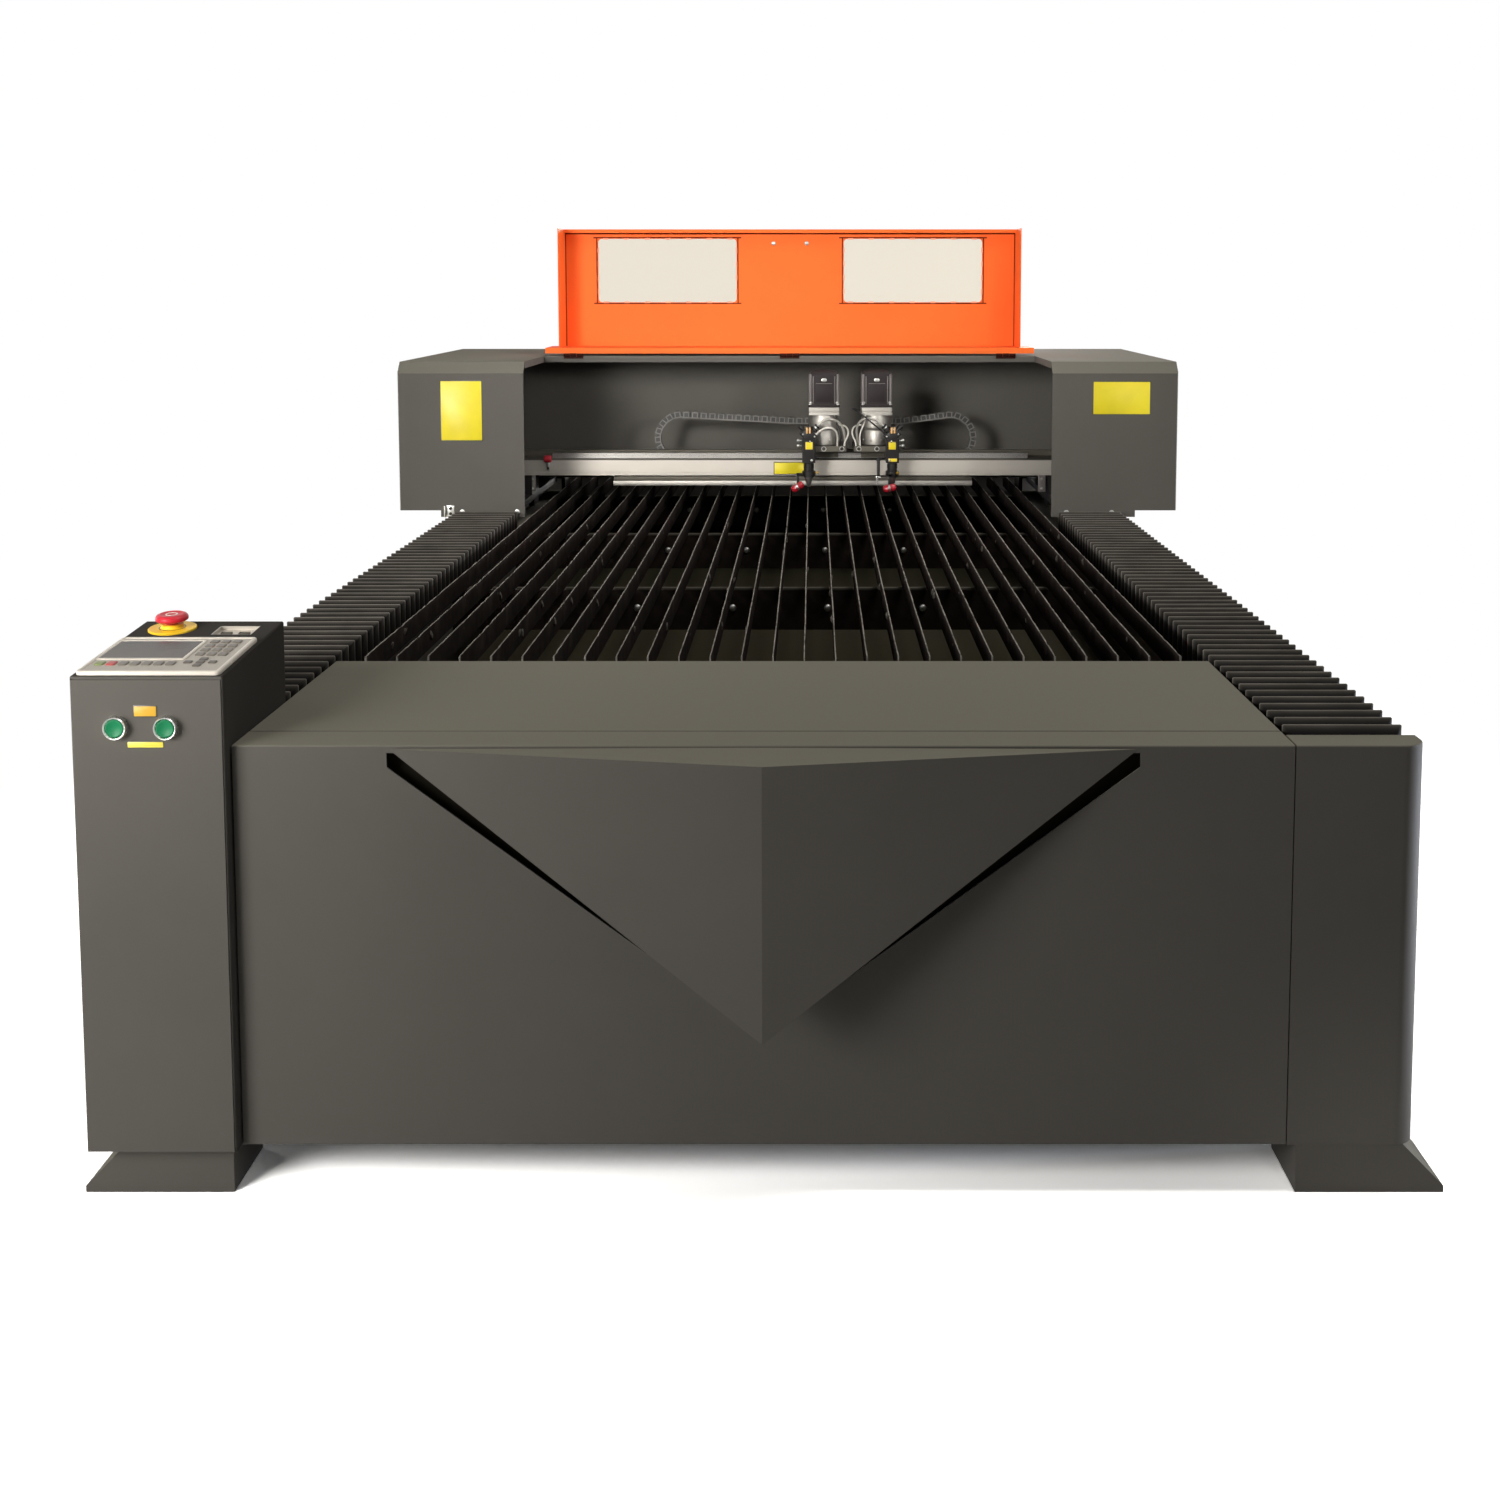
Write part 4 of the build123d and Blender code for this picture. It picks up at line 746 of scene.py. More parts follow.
slats = grown(to_mesh("slats", slat()), IN_A_ROW,
              {"Count": 2 * SLATS_BESIDE + 1, "Step": (SLAT_STEP * MM, 0.0, 0.0),
               "Wobble": (1.6 * MM, 0.0, 0.0), "Finish": slat_steel})
for vert in slats.vertices:
    if vert.co.z > (SLAT_TOP - 0.9) * MM:
        bite = max(0.0, noise.noise(vert.co * 60.0) - 0.15)
        vert.co.z -= min(4 * MM, 8 * MM * bite)
settle("slats", slats, [slat_steel], "bed", ["bed_blades"])

chance = random.Random(5)
crust = bmesh.new()
bmesh.ops.create_icosphere(crust, subdivisions=2, radius=1.0)
for vert in crust.verts:
    lump = 1.0 + 0.5 * noise.noise(vert.co * 1.7)
    vert.co = Vector((vert.co.x * 3.4 * lump, vert.co.y * 7.0 * lump, vert.co.z * 8.0 * lump))
spots = [(SLAT_STEP * chance.randint(-SLATS_BESIDE, SLATS_BESIDE) + chance.choice((-1.8, 1.8)),
          chance.uniform(700, 2350), chance.uniform(652, 668)) for n in range(70)]
leans = [(chance.uniform(-0.4, 0.4), chance.uniform(-0.8, 0.8), 1.0) for spot in spots]
scattered("slag_drips", crust, spots, leans, slag, "bed")

dome = turned([(9.0, 0), (9.0, 1.0), (8.6, 3.0), (7.4, 4.6), (5.2, 5.7), (2.4, 6.0)], steps=12)
spots = [(-560.0 + 222.0 * n, y, 586.0) for y in (660.0, 1500.0, 2340.0, 3180.0) for n in range(6)]
scattered("slat_support_bolts", dome, spots, [FRONT], zinc, "bed", ["support_bolts"])

spots = [(side * 966.0, y, z) for side in (-1, 1) for y in range(340, 3480, 395) for z in (100.0, 590.0)]
facings = [LEFT if x < 0 else RIGHT for x, y, z in spots]
rear = [(x, 3503.0, z) for x in range(-880, 881, 352) for z in (100.0, 655.0)]
rear += [(side * 400.0 + 88 * math.cos(a), 3506.0, 250.0 + 88 * math.sin(a)) for side in (-1, 1)
         for a in (0.785, 2.356, 3.927, 5.498)]
scattered("panel_screws", button_screw(6.0), spots + rear, facings + [BACK] * len(rear), zinc, "bed")

# A channel behind the front panel's V cut-out, painted dark: it stands in for the shade inside the machine
# seen through the gap.
channel = drawn([(8, 192), (29, 192), (29, 668), (8, 668), (8, 665.5), (26.5, 665.5), (26.5, 194.5),
                 (8, 194.5)], (-562, 562))
make("panel_baffle", [(channel, tray_coat)], "bed")


# Control cabinet: console, buttons and blank plates

CONSOLE = move(sum(CAB_X) / 2, CAB_Y, CAB_Z) @ Matrix.Rotation(CONSOLE_SLOPE, 4, "X")


def console(u, v, w=0.0):
    """A place on the console: across, up its slope, and off its face."""
    return CONSOLE @ move(u, v, w)


bezel = pressed(208, 174, 8, [(0, 0), (0, 3.8), (0.7, 5.2), (2.0, 6.0), (5.0, 6.0), (6.2, 5.4), (6.8, 4.4)])
bezel.faces.ensure_lookup_table()
# The last face is the sunk top, which the keypad's film covers.
bezel.faces[-1].material_index = 1
window = pressed(135, 98, 5, [(0, KEYPAD_HIGH), (0, 5.4), (1.0, 6.0), (4.6, 6.0), (5.6, 5.5),
                              (6.2, KEYPAD_HIGH)], True)
parts = [(bezel, (bezel_abs, panel_film), console(0, 91)), (window, bezel_abs, console(-34.5, 113))]
make("console_frame", parts, "bed", ["console_bezel"])


def keys(name, width, depth, spots, coat, stands_for=()):
    """Domed keys of one size on the keypad's film."""
    shape = pressed(width, depth, 2.4, [(0, 0), (0, 1.3), (0.5, 1.9), (1.6, 2.2), (3.0, 2.3)], steps=3)
    normal = Matrix.Rotation(CONSOLE_SLOPE, 3, "X") @ Vector(UP)
    where = [console(u, v, KEYPAD_HIGH).translation for u, v in spots]
    scattered(name, shape, where, [normal], coat, "bed", stands_for)


keys("number_keys", 13, 14, [(46 + 17 * c, 91 + 21 * r) for r in range(4) for c in range(3)], key_film,
     ["keypad_keys"])
keys("menu_keys", 13, 16, [(-84 + 17.2 * n, 45) for n in range(2, 7)], key_film)
keys("start_key", 13, 16, [(-84, 45)], green_key)
keys("stop_key", 13, 16, [(-66.8, 45)], red_key)
keys("arrow_keys", 12, 11, [(60 + du, 52 + dv) for du, dv in ((-18, 0), (18, 0), (0, 0), (0, 15), (0, -15))],
     dark_key)

spot = console(*STOP_AT)
disc = turned([(9.5, 0), (36.5, 0), (36.5, 2.2), (35.6, 3.0), (19.4, 3.0), (17.8, 3.5), (17.0, 4.6),
               (17.0, 8.0), (16.2, 9.0), (9.5, 9.0)], True, 48)
line = turned([(19.2, 3.0), (20.4, 3.0), (20.4, 3.3), (19.2, 3.3)], True, 48)
make("stop_collar", [(disc, stop_yellow, spot), (line, dark_vinyl, spot)], "bed",
     ["estop_collar"])
cap = turned([(9.0, -16.0), (9.0, 13.4), (17.0, 13.8), (22.5, 14.4), (24.6, 16.0), (25.0, 18.4), (24.4, 21.0),
              (22.6, 23.4), (19.6, 24.8), (17.0, 25.0), (15.6, 24.7), (14.6, 24.2), (2.0, 23.9)], steps=48)
ring = turned([(7.0, 23.8), (9.6, 23.8), (9.4, 24.5), (7.2, 24.5)], True, 40)
make("stop_mushroom", [(cap, stop_red, spot), (ring, bezel_abs, spot)], "estop",
     ["estop_button"])

parts = []
for u in (36.0, 64.0):
    shell = pressed(17, 9, 1.0, [(0, -6.5), (0, -3.6), (1.2, -3.4), (1.6, -5.6)], steps=2)
    tongue = slab((u - 5, u + 5), (231.6, 234.4), (-6.2, -4.2), 0.3)
    parts += [(shell, dull_alloy, console(u, 233)), (tongue, black_abs, CONSOLE)]
make("port_sockets", parts, "bed")

rings = []
for label, x in zip(("left", "right"), BUTTON_X):
    spot = move(x, CAB_Y, BUTTON_Z) @ FACING_FRONT
    rings.append((turned([(13.5, 0), (17.0, 0), (17.0, 9.0), (16.6, 10.8), (15.7, 12.0), (14.8, 11.8),
                          (14.2, 10.4), (13.5, 9.6)], True, 48), chrome, spot))
    face = turned([(13.0, -20.0), (13.0, 9.3), (12.5, 10.2), (11.6, 10.5), (10.6, 10.2), (9.6, 9.6),
                   (1.0, 9.3)], steps=48)
    make(f"{label}_push_button", [(face, button_green, spot)], f"start_{label}",
         [f"start_button_{label}"])
make("button_rings", rings, "bed", ["button_bezels"])


def plate(x, z, y, border, face, edge):
    """A blank plate on a front, as parts: its border and its raised face."""
    wide, high = x[1] - x[0], z[1] - z[0]
    spot = move(sum(x) / 2, y, sum(z) / 2) @ FACING_FRONT
    back = pressed(wide, high, 1.5, [(0, 0), (0, 0.35), (0.2, 0.5)], steps=2)
    front = pressed(wide - 2 * edge, high - 2 * edge, 1.0, [(0, 0.4), (0, 0.7), (0.2, 0.8)], steps=2)
    return [(back, border, spot), (front, face, spot)]


make("cabinet_plates", plate((-904, -869), (726, 744), CAB_Y, dark_vinyl, amber_vinyl, 1.8)
     + plate((-914, -861), (681, 691), CAB_Y, dark_vinyl, pale_vinyl, 1.0), "bed")


# Gantry: blank plates, beam and stops, closing plates, bracket and screws

make("gantry_plates", plate((-994, -873), (889, 1063), HOUSING_FACE, dark_vinyl, yellow_vinyl, 2.4)
     + plate((871, 1037), (964, 1061), HOUSING_FACE, dark_vinyl, yellow_vinyl, 2.4)
     + plate((-50, 46), (747, 787), BEAM_FACE, dark_vinyl, yellow_vinyl, 2.8), "gantry")

groove = BEAM_FACE + 4
beam = drawn([(2946, 745), (2946, 793), (2944.5, 794), (2944.5, 811.4), (2944, 812), (2929, 812),
              (2928.5, 811.4), (2928.5, 806.5), (2931.5, 806.5), (2931.5, 802.5), (2928.5, 802.5),
              (2928.5, 794), (2808, 794), (BEAM_FACE, 792), (BEAM_FACE, 757.5), (groove, 757.5),
              (groove, 754.5), (BEAM_FACE, 754.5), (BEAM_FACE, 751.5), (groove, 751.5), (groove, 748.5),
              (BEAM_FACE, 748.5), (BEAM_FACE, 745)], (-BEAM_HALF, BEAM_HALF))
# The beam's top is duller than its face.
for face in beam.faces:
    face.material_index = 1 if face.calc_center_median().z > 792.5 else 0
make("beam_extrusion", [(beam, (aluminium, dull_alloy))], "gantry", ["cross_beam"])

parts = [(slab((-549, 567), (2822, 2850), (711, 726), 1.2), cast_alloy),
         (slab((-548, 566), (2828, 2849), (725, 739), 0.6), dull_alloy)]
parts += [(slab((x, x + 40), (2828, 2849), (738, 745), 0.4), dull_alloy) for x in (-529, 507)]
make("lower_bar_rail", parts, "gantry", ["lower_bar"])

bumper = turned([(3, -11), (8.6, -11), (10.4, -9.6), (11, -7.5), (11, 7.5), (10.4, 9.6), (8.6, 11), (3, 11)],
                steps=24)
lug_face = BEAM_FACE - 5.5
make("end_stop_bumper", [(bumper, stop_rubber, move(-748, 2795, 797) @ tilt(90, "Y")),
                         (slab((-753, -743), (lug_face, BEAM_FACE), (762, 789)), zinc),
                         screw(3.4, dark_steel, move(-748, lug_face, 768))],
     "gantry", ["end_stop"])

parts = []
face = 2812
for coat, x in ((grey_enamel, (-809, -789)), (rod_enamel, (771, 794))):
    parts.append((slab(x, (face, face + 8), (693, 746), 1.0), coat))
    parts += [screw(4.0, zinc, move(sum(x) / 2, face, z)) for z in (703, 733)]
make("beam_hangers", parts, "gantry")

spots = [(x, HOUSING_FACE, z) for x, z in ((-936, 684), (-778, 684), (800, 682), (930, 682))]
flat_head = turned([(8.0, 0), (8.0, 0.4), (7.2, 0.8), (3.6, 0.8), (3.2, 0.3)], steps=16)
scattered("housing_screws", flat_head, spots, [FRONT], zinc, "gantry")

parts = []
for side in (-1, 1):
    parts += [(slab(sorted((side * 954, side * 1112.5)), HOUSING_LENGTH, (689.5, 692), 0.6), grey_coat),
              (slab(sorted((side * 954, side * 956.5)), HOUSING_LENGTH, (616, 690), 0.6), grey_coat)]
make("housing_floors", parts, "gantry")

face, high = 2413.5, (671, 704)
parts = [(slab((-985, -958), (face, 2416.8), high, 1.0), zinc),
         (slab((-985, -981), (2400, 2416), high, 1.0), zinc)]
parts += [screw(4.5, dark_steel, move(-969, face, z)) for z in (680, 695)]
make("cover_bracket", parts, "gantry")


# Hood: screws, hinge sleeves, the score lines and nibs that the punch left round its windows, and painted
# shade lines in its corners and under its top return

spots = [(x, HOOD_FACE, 1463) for x in (-52, 52)]
scattered("hood_screws", button_screw(7.0), spots, [FRONT], zinc, "hood")
nibs = HOOD_FACE + 0.2
spots = [(side * (190 + 65 * n), nibs, z) for side in (-1, 1) for n in range(7) for z in (1278, 1477)]
# The nibs are painted lighter than the hood: a painted highlight.
scattered("window_nibs", slab((-8, 8), (-2.6, 2.6), (0, 2.0), 0.6), spots, [FRONT], nib_highlight_coat, "hood")
spots = [(side * x, nibs, 1312 + 43 * n) for side in (-1, 1) for n in range(4) for x in (169, 604)]
scattered("window_side_nibs", slab((-2.6, 2.6), (-8, 8), (0, 2.0), 0.6), spots, [FRONT], nib_highlight_coat, "hood")

score_and_shade_lines = []
for side in (-1, 1):
    score_and_shade_lines += [(sorted((side * 154, side * 619)), (z - 2.0, z + 2.0)) for z in (1274.5, 1480.5)]
    score_and_shade_lines += [(sorted((side * (x - 1.8), side * (x + 1.8))), (1276, 1479)) for x in (164.5, 608.5)]
# Painted shade: dark lines in the inner corners of the side flanges.
score_and_shade_lines += [((x - 1.5, x + 1.5), (1135, 1494)) for x in (-HOOD_HALF + 3.5, HOOD_HALF - 3.5)]
# Painted shadow: a dark strip under the top return.
score_and_shade_lines.append(((-HOOD_HALF + 2, HOOD_HALF - 2), (1491, 1496)))
parts = [(slab(x, SCORE_AND_SHADE_Y, z, 0.3), score_and_shade_paint) for x, z in score_and_shade_lines]
make("window_score_lines", parts, "hood")

parts = []
for x in (-665, 0, 665):
    sleeve = turned([(4.9, -9.6), (5.6, -9.4), (5.6, 9.4), (4.9, 9.6)], True, 20)
    parts.append((sleeve, shaded_hinge_coat, move(x, 2797, 1118) @ tilt(90, "Y")))
make("hinge_sleeves", parts, "hood")


# Cutting heads: the left one as drawn, the right one its mirror image

def mirrored(parts):
    """The right head's parts for parts of the left head."""
    for shape, coat, spot in parts:
        bmesh.ops.transform(shape, matrix=spot, verts=shape.verts)
        for vert in shape.verts:
            vert.co.x = opposite(vert.co.x)
        bmesh.ops.reverse_faces(shape, faces=shape.faces)
    return [(shape, coat) for shape, coat, spot in parts]


def head_motor():
    """A stepper motor: crowned black cover, corner rods, ribs, a screwed flange and a blank badge."""
    spot = move(HEAD_X, HEAD_Y, 0)
    cover = pressed(88, 88, 9, [(0, 967), (0, 1059), (1.0, 1063), (3.5, 1067), (9, 1070.6), (21, 1073.8),
                                (40, 1075)])
    flange = pressed(95.6, 95.6, 6, [(0, 961), (0, 967.5), (1.2, 969)])
    parts = [(cover, motor_enamel, spot), (flange, motor_enamel, spot)]
    for sx in (-1, 1):
        for sy, facing in ((-1, FACING_FRONT), (1, tilt(-90, "X"))):
            corner = spot @ move(42 * sx, 42 * sy, 0)
            rod = turned([(4.6, 968), (4.6, 1058), (3.2, 1062)], steps=12)
            parts += [(rod, rod_enamel, corner), (button_screw(5.4), zinc, corner @ move(0, 0, 969)),
                      (button_screw(4.4), zinc, spot @ move(40 * sx, 44 * sy, 975) @ facing)]
    for x in (-33, 33):
        parts.append((slab((x - 1.4, x + 1.4), (-45.4, -43), (971, 1056), 0.5), rod_enamel, spot))
    badge = pressed(17, 11, 5.4, [(0, 0), (0, 1.0), (1.4, 1.6), (4.6, 1.8)], steps=8)
    return parts + [(slab((-24, 24), (-44.8, -43), (977, 1032), 0.6), motor_enamel, spot),
                    (slab((-25, 25), (-45.2, -43), (1033, 1034.6), 0.4), rod_enamel, spot),
                    (badge, zinc, spot @ move(0, -44, 1044) @ FACING_FRONT)]


def head_module():
    """A silver drive module: a stepped square cap on a ringed drum."""
    spot = move(HEAD_X, HEAD_Y, 0)
    cap = pressed(95.6, 95.6, 5, [(0, 937.2), (0, 945), (1.6, 946.5), (1.6, 949), (0, 950.5), (0, 959.8),
                                  (1, 961)])
    drum = turned([(38, 842), (42.6, 845), (43.4, 849), (43.4, 884), (41.8, 887), (41.8, 891), (45.4, 896),
                   (45.9, 899), (45.9, 927), (44.4, 930), (44.4, 938)], steps=48)
    parts = [(cap, cast_alloy, spot), (drum, cast_alloy, spot)]
    for n in range(8):
        angle = math.tau * (n + 0.5) / 8
        rim = spot @ move(43 * math.cos(angle), 43 * math.sin(angle), 860)
        parts.append((button_screw(3.4), zinc, rim @ Matrix.Rotation(angle, 4, "Z") @ tilt(90, "Y")))
    return parts


def head_trim():
    """Fittings on a black mirror mount: resin clips, knobs, adjusters, a gland, screws and a blank tag."""
    block = move(COLUMN_X, COLUMN_Y, MIRROR_Z)
    gland = block @ tilt(45, "Y")
    parts = []
    for dy in (-11, 11):
        knob = turned([(6.6, -3), (7.0, -2), (7.0, 7.5), (6.2, 9.2), (3, 10.2)], steps=16)
        parts.append((knob, black_abs, block @ move(-21, dy, 21) @ tilt(-45, "Y")))
    for z in (846, 862):
        adjuster = turned([(2.2, 0), (2.2, 8), (5.2, 8.6), (5.6, 10), (5.6, 14), (4.4, 16.4), (2, 17.2)],
                          steps=16)
        parts.append((adjuster, zinc, move(COLUMN_X - 19.5, COLUMN_Y - 4, z) @ tilt(-90, "Y")))
    parts += [(turned([(9.2, 20), (12, 20), (12, 26), (9.2, 26)], True, 6), black_abs, gland),
              (turned([(9.1, 29), (9.9, 29.4), (9.9, 33), (9.1, 33.4)], True, 24), zinc, gland),
              (slab((-19, 19), (-21.2, -18.6), (-14, 14)), black_abs, gland)]
    parts += [screw(2.6, zinc, gland @ move(x, -21, z)) for x in (-15, 15) for z in (-10, 10)]
    parts += [(slab((x, x + 5.5), (-24.5, -20), (6, 25), 1.2), amber_resin, block) for x in (-8.5, 0.5)]
    parts.append(screw(4.0, zinc, move(COLUMN_X + 9, MOUNT_FACE, 803)))
    tag = plate((COLUMN_X - 10, COLUMN_X + 12), (836, 859), MOUNT_FACE, amber_resin, yellow_vinyl, 0.9)
    return parts + tag


def air_pipe():
    """A black air pipe on a clip beside the right mirror mount, with a steel elbow at its foot."""
    spot = move(271, 2712, 0)
    pipe = turned([(3.4, 752), (4.8, 753), (4.8, 799), (6.2, 800), (6.2, 806), (4.4, 808)], steps=16)
    tip = turned([(2.6, 728), (3.6, 729), (3.6, 748)], steps=12)
    return [(pipe, black_abs, spot), (slab((-4.5, 24), (-5, 5), (808, 812)), black_abs, spot),
            (slab((-8, 6), (-5.5, 5.5), (748, 753)), chrome, spot), (tip, chrome, spot @ move(-4, 0, 0))]


def lens_barrel(lock_side):
    """A black lens barrel with a knurled collar, a brass lock screw on one side and a steel nozzle."""
    spot = move(COLUMN_X, COLUMN_Y, 0)
    barrel = turned([(16, 750), (16, 754), (20, 755), (20, 769), (16, 770), (16, 773), (15.2, 773.6),
                     (15.2, 776), (16, 776.6), (16, 790), (15.2, 790.6), (15.2, 793), (16, 793.6), (16, 817)],
                    steps=40)
    parts = [(barrel, black_anodised, spot)]
    for n in range(20):
        ridge = slab((19.6, 20.4), (-1, 1), (757, 767), 0.2)
        parts.append((ridge, black_anodised, spot @ Matrix.Rotation(math.tau * n / 20, 4, "Z")))
    nozzle = turned([(4, 721), (4.6, 721.6), (9.4, 737), (12.4, 747), (13, 750.2)], steps=32)
    lock = turned([(2, 0), (2, 5), (5, 5.4), (5.4, 6.4), (5.4, 10), (4.6, 10.8)], steps=14)
    return parts + [(nozzle, zinc, spot),
                    (lock, brass, spot @ tilt(lock_side, "Z") @ move(19.5, 0, 764) @ tilt(90, "Y"))]


def pointer(x, y, lean, strap, arm):
    """A red pointer lamp in a steel ring, on a strap from the barrel's collar."""
    spot = move(x, y, 720) @ tilt(lean, "Y")
    lamp_body = turned([(5, -20), (8.4, -18.5), (11.4, -12), (11.8, -4), (10.2, -3.4), (10.2, 3.4), (11.8, 4),
                        (11.8, 12), (8.6, 18.5), (5, 20)], steps=9)
    ring = turned([(9.6, -3), (11.2, -2.6), (11.2, 2.6), (9.6, 3)], True, 24)
    return [(lamp_body, pointer_red, spot), (ring, zinc, spot), (slab(*strap, (727, 762)), black_anodised),
            (slab(*arm, (754, 762)), black_anodised)]


for label, turn, lock_side in (("left", list, 0), ("right", mirrored, -125)):
    body = f"{label}_head"
    make(f"{label}_motor_unit", turn(head_motor()), body, [f"{label}_motor"])
    make(f"{label}_module_unit", turn(head_module()), body, [f"{label}_drive_module"])
    trim, barrel = turn(head_trim()), turn(lens_barrel(lock_side))
    bolts = [(x, 2738, 834) for x in (50, 105, 160)]
    if label == "left":
        x, depth = COLUMN_X - 34, (COLUMN_Y - 4, COLUMN_Y + 4)
        barrel += pointer(x, COLUMN_Y, 58, ((x - 3, x + 5), depth), ((x - 3, COLUMN_X - 15), depth))
    else:
        middle, bolts = opposite(COLUMN_X), twin(bolts)
        x, y = middle - 9, COLUMN_Y - 30
        width = (x - 4, x + 6)
        barrel += pointer(x, y, 78, (width, (y - 3, y + 4)), (width, (y - 3, COLUMN_Y - 12)))
        trim += air_pipe()
        trim += plate((middle - 13, middle + 14), (799, 809), MOUNT_FACE, amber_resin, yellow_vinyl, 0.9)
    make(f"{label}_mount_trim", trim, body)
    make(f"{label}_lens_barrel", barrel, f"{label}_focus", [f"{label}_lens_tube"])
    washer = turned([(5.0, 0), (8.0, 0), (8.0, 0.9), (5.0, 0.9)], True, 16)
    scattered(f"{label}_carriage_washers", washer, bolts, [FRONT], zinc, body)
    scattered(f"{label}_carriage_bolts", button_screw(5.5), bolts, [FRONT], dark_steel, body)


# Cable chains: open links, their front rims painted pale as a highlight

blocks = []
for y in ((-14, -11), (11, 14)):
    blocks += [((-12.5, 12.5), y, (-9.6, 5)), ((-9, 9), y, (5, 9.6))]
blocks += [((-5, 5), (-12.5, 12.5), z) for z in ((-9.8, -7.6), (7.6, 9.8))]
link = joined([(slab(*block, 0), chain_nylon) for block in blocks])[0]
# The rims on the links' front faces are painted pale: a painted highlight along the link edges.
bars = (((-13.2, 13.2), (-10.2, -6.2)), ((-9.8, 9.8), (6.6, 10.2)), ((-9.8, -6.2), (-6.2, 6.6)),
        ((6.2, 9.8), (-6.2, 6.6)))
rim = joined([(slab(x, (-15, -13.8), z, 0), rim_highlight_nylon) for x, z in bars])[0]


def chain(name, end, loop, foot, body, node):
    """A cable chain: from the shelf, round its loop, to the carriage."""
    toward = -1 if loop < end else 1
    low, high = CHAIN_RUNS
    radius, middle = (high - low) / 2, (high + low) / 2
    centre = loop - toward * (radius + 10)
    line = [(end, CHAIN_END[1]), (end + toward * 40, CHAIN_END[1]), (centre, high)]
    for n in range(1, 16):
        angle = math.pi * n / 16
        line.append((centre + toward * radius * math.sin(angle), middle + radius * math.cos(angle)))
    line += [(centre, low), (foot, low)]
    line = line if toward > 0 else line[::-1]
    start = bpy.data.meshes.new("line")
    start.from_pydata([place(x, CHAIN_Y, z) for x, z in line], [(n, n + 1) for n in range(len(line) - 1)], [])
    for kind, part, coat in (("links", link, chain_nylon), ("rims", rim, rim_highlight_nylon)):
        shape = small_shape(part.copy())
        mesh = grown(start, ALONG_A_LINE, {"Shape": shape, "Pitch": CHAIN_PITCH * MM, "Finish": coat})
        bpy.data.objects.remove(shape)
        settle(f"{name}_{kind}", mesh, [coat], body, [node])


chain("left_chain", CHAIN_END[0], -431.0, -180.0, "left_head", "left_cable_chain")
chain("right_chain", opposite(CHAIN_END[0]), 591.0, 470.0, "right_head", "right_cable_chain")
link.free()
rim.free()


# Stage: a pale floor and soft studio light

bpy.context.scene.view_settings.view_transform = "Standard"


def on_show(tree):
    """1 for what is seen, directly, mirrored or through glass, and 0 for light that falls on the object."""
    path = add(tree, "ShaderNodeLightPath").outputs
    direct = add(tree, "ShaderNodeMath", {0: path["Is Camera Ray"], 1: path["Is Transmission Ray"]},
                 operation="MAXIMUM")
    return add(tree, "ShaderNodeMath", {0: direct, 1: path["Is Glossy Ray"]}, operation="MAXIMUM")


world = bpy.data.worlds.new("studio")
bpy.context.scene.world = world
world.use_nodes = True
tree = world.node_tree
tree.nodes.clear()
strength = add(tree, "ShaderNodeMapRange", {"Value": on_show(tree), "To Min": 0.045, "To Max": 1.0})
sky = add(tree, "ShaderNodeBackground", {"Color": linear("#FFFFFF"), "Strength": strength})
add(tree, "ShaderNodeOutputWorld", {"Surface": sky})


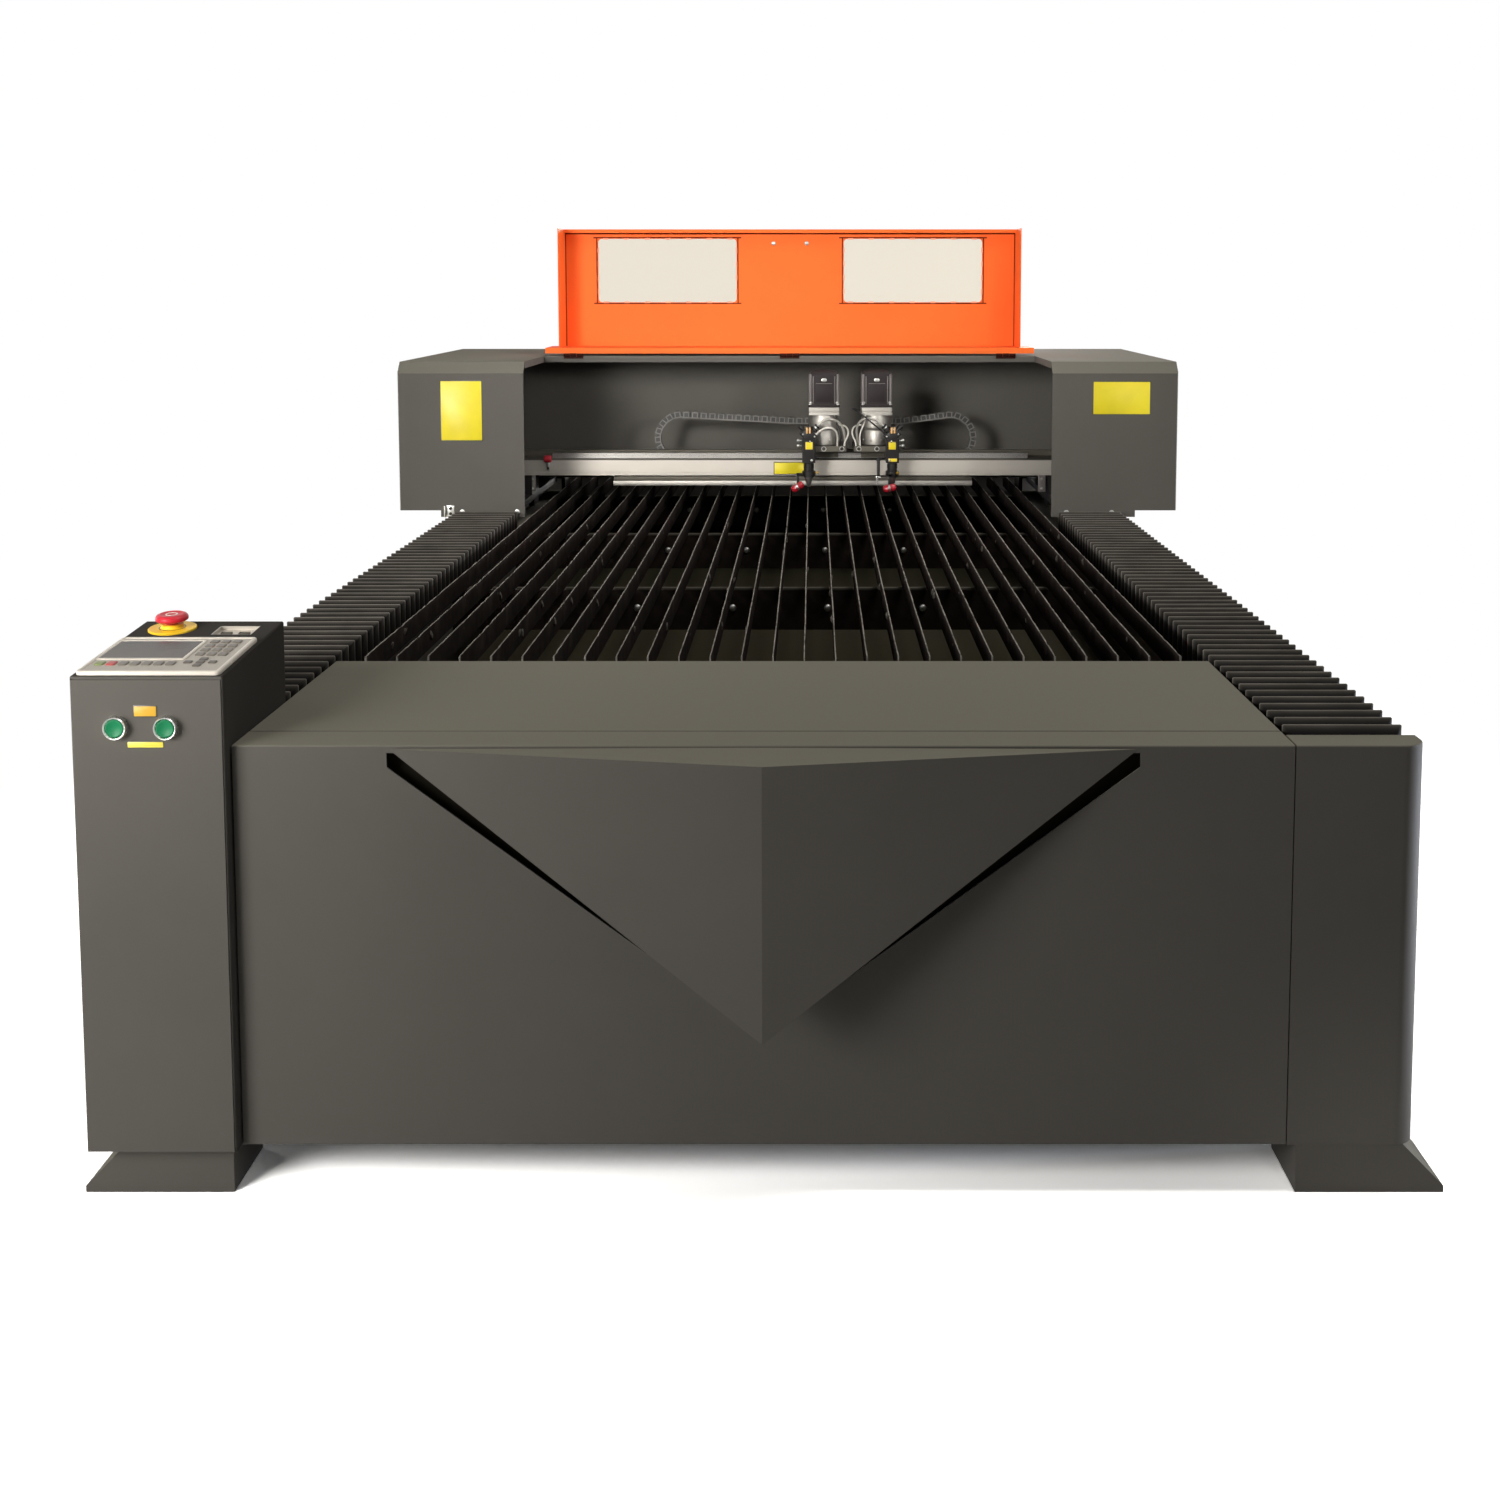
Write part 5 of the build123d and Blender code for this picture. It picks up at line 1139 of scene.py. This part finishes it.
def floor_paint():
    """Pale matt floor paint: it takes the shadow under and near the machine, and is even white beyond."""
    made, tree, where = finish("pale floor paint")
    spread = add(tree, "ShaderNodeMapping", {"Vector": where, "Scale": (1 / 1.1, 1 / 1.85, 0.0)})
    far = add(tree, "ShaderNodeVectorMath", {0: spread}, operation="LENGTH")
    fade = add(tree, "ShaderNodeMapRange", {"Value": far, "From Min": 1.0, "From Max": 1.9},
               interpolation_type="SMOOTHSTEP")
    share = add(tree, "ShaderNodeMath", {0: fade, 1: on_show(tree)}, operation="MULTIPLY")
    pale = patchy(tree, where, 500, linear("#F4F4F4"), linear("#FAFAFA"), 2.0)[1]
    # The paint is shown darker under the machine than just outside it, which firms up the shadow there.
    plan = add(tree, "ShaderNodeVectorMath", {0: where}, operation="ABSOLUTE")
    beside = add(tree, "ShaderNodeVectorMath", {0: plan, 1: (0.95, 1.56, 1.0)}, operation="SUBTRACT")
    outside = add(tree, "ShaderNodeVectorMath", {0: beside, 1: (0.0, 0.0, 0.0)}, operation="MAXIMUM")
    off = add(tree, "ShaderNodeVectorMath", {0: outside}, operation="LENGTH")
    lift = add(tree, "ShaderNodeMapRange", {"Value": off, "From Max": 0.13, "To Min": 1.3, "To Max": 4.6},
               interpolation_type="SMOOTHSTEP")
    lifted = add(tree, "ShaderNodeVectorMath", {0: pale, "Scale": lift}, operation="SCALE")
    seen = add(tree, "ShaderNodeMix", {"Factor": on_show(tree), ONE: linear("#B2B2B2"), OTHER: lifted},
               data_type="RGBA")
    matt = add(tree, "ShaderNodeBsdfPrincipled", {"Base Color": seen, "Roughness": 0.8})
    white = add(tree, "ShaderNodeEmission", {"Color": linear("#FFFFFF"), "Strength": 1.0})
    mixed = add(tree, "ShaderNodeMixShader", {0: share, 1: matt, 2: white})
    add(tree, "ShaderNodeOutputMaterial", {"Surface": mixed})
    return made


REACH = 40.0
floor_mesh = bpy.data.meshes.new("floor")
corners = [(-REACH, -REACH, 0), (REACH, -REACH, 0), (REACH, REACH, 0), (-REACH, REACH, 0)]
floor_mesh.from_pydata(corners, [], [(0, 1, 2, 3)])
floor_mesh.materials.append(floor_paint())
floor = shown("floor", floor_mesh)


def lamp(name, spot, target, size, power, code, spread=180):
    """A soft square studio lamp aimed at a point; a grid may narrow its spread."""
    made = shown(name, bpy.data.lights.new(name, "AREA"))
    made.data.shape = "SQUARE"
    made.data.size = size
    made.data.spread = math.radians(spread)
    made.data.energy = power
    made.data.color = linear(code)[:3]
    made.visible_camera = False
    made.visible_transmission = False
    made.location = spot
    made.rotation_euler = (Vector(target) - Vector(spot)).to_track_quat("-Z", "Y").to_euler()


lamp("key lamp", (-1.9, -3.0, 0.95), (-0.7, -1.75, 0.45), 1.0, 33.5, "#FFFDFA")
lamp("gantry lamp", (-1.9, -3.4, 1.95), (0.1, 1.2, 1.25), 1.1, 12.8, "#FFFDFA", 46)
lamp("fill lamp", (2.4, -3.0, 1.9), (-0.5, 1.2, 1.1), 0.8, 2.4, "#FFFDFA", 30)
lamp("top lamp", (2.2, -1.75, 6.0), (2.2, -1.75, 0.0), 2.2, 150.0, "#FFFDF8")
lamp("edge lamp", (4.0, -1.2, 0.3), (0.97, -1.7, 0.45), 0.3, 2.8, "#E6EEFF", 20)
lamp("foot lamp", (1.3, -3.6, 0.45), (0.93, -1.75, 0.05), 0.3, 0.06, "#FFFDFA", 16)
lamp("right lamp", (4.2, 1.0, 1.0), (1.0, 1.2, 0.5), 1.2, 27.0, "#F6F8FF", 50)
lamp("left lamp", (-4.2, 1.0, 1.0), (-1.0, 0.5, 0.5), 1.2, 27.0, "#FFFDFA", 60)
lamp("rear lamp", (0.6, 5.2, 1.4), (0.0, 1.75, 0.6), 1.6, 53.0, "#FFFDFA", 90)
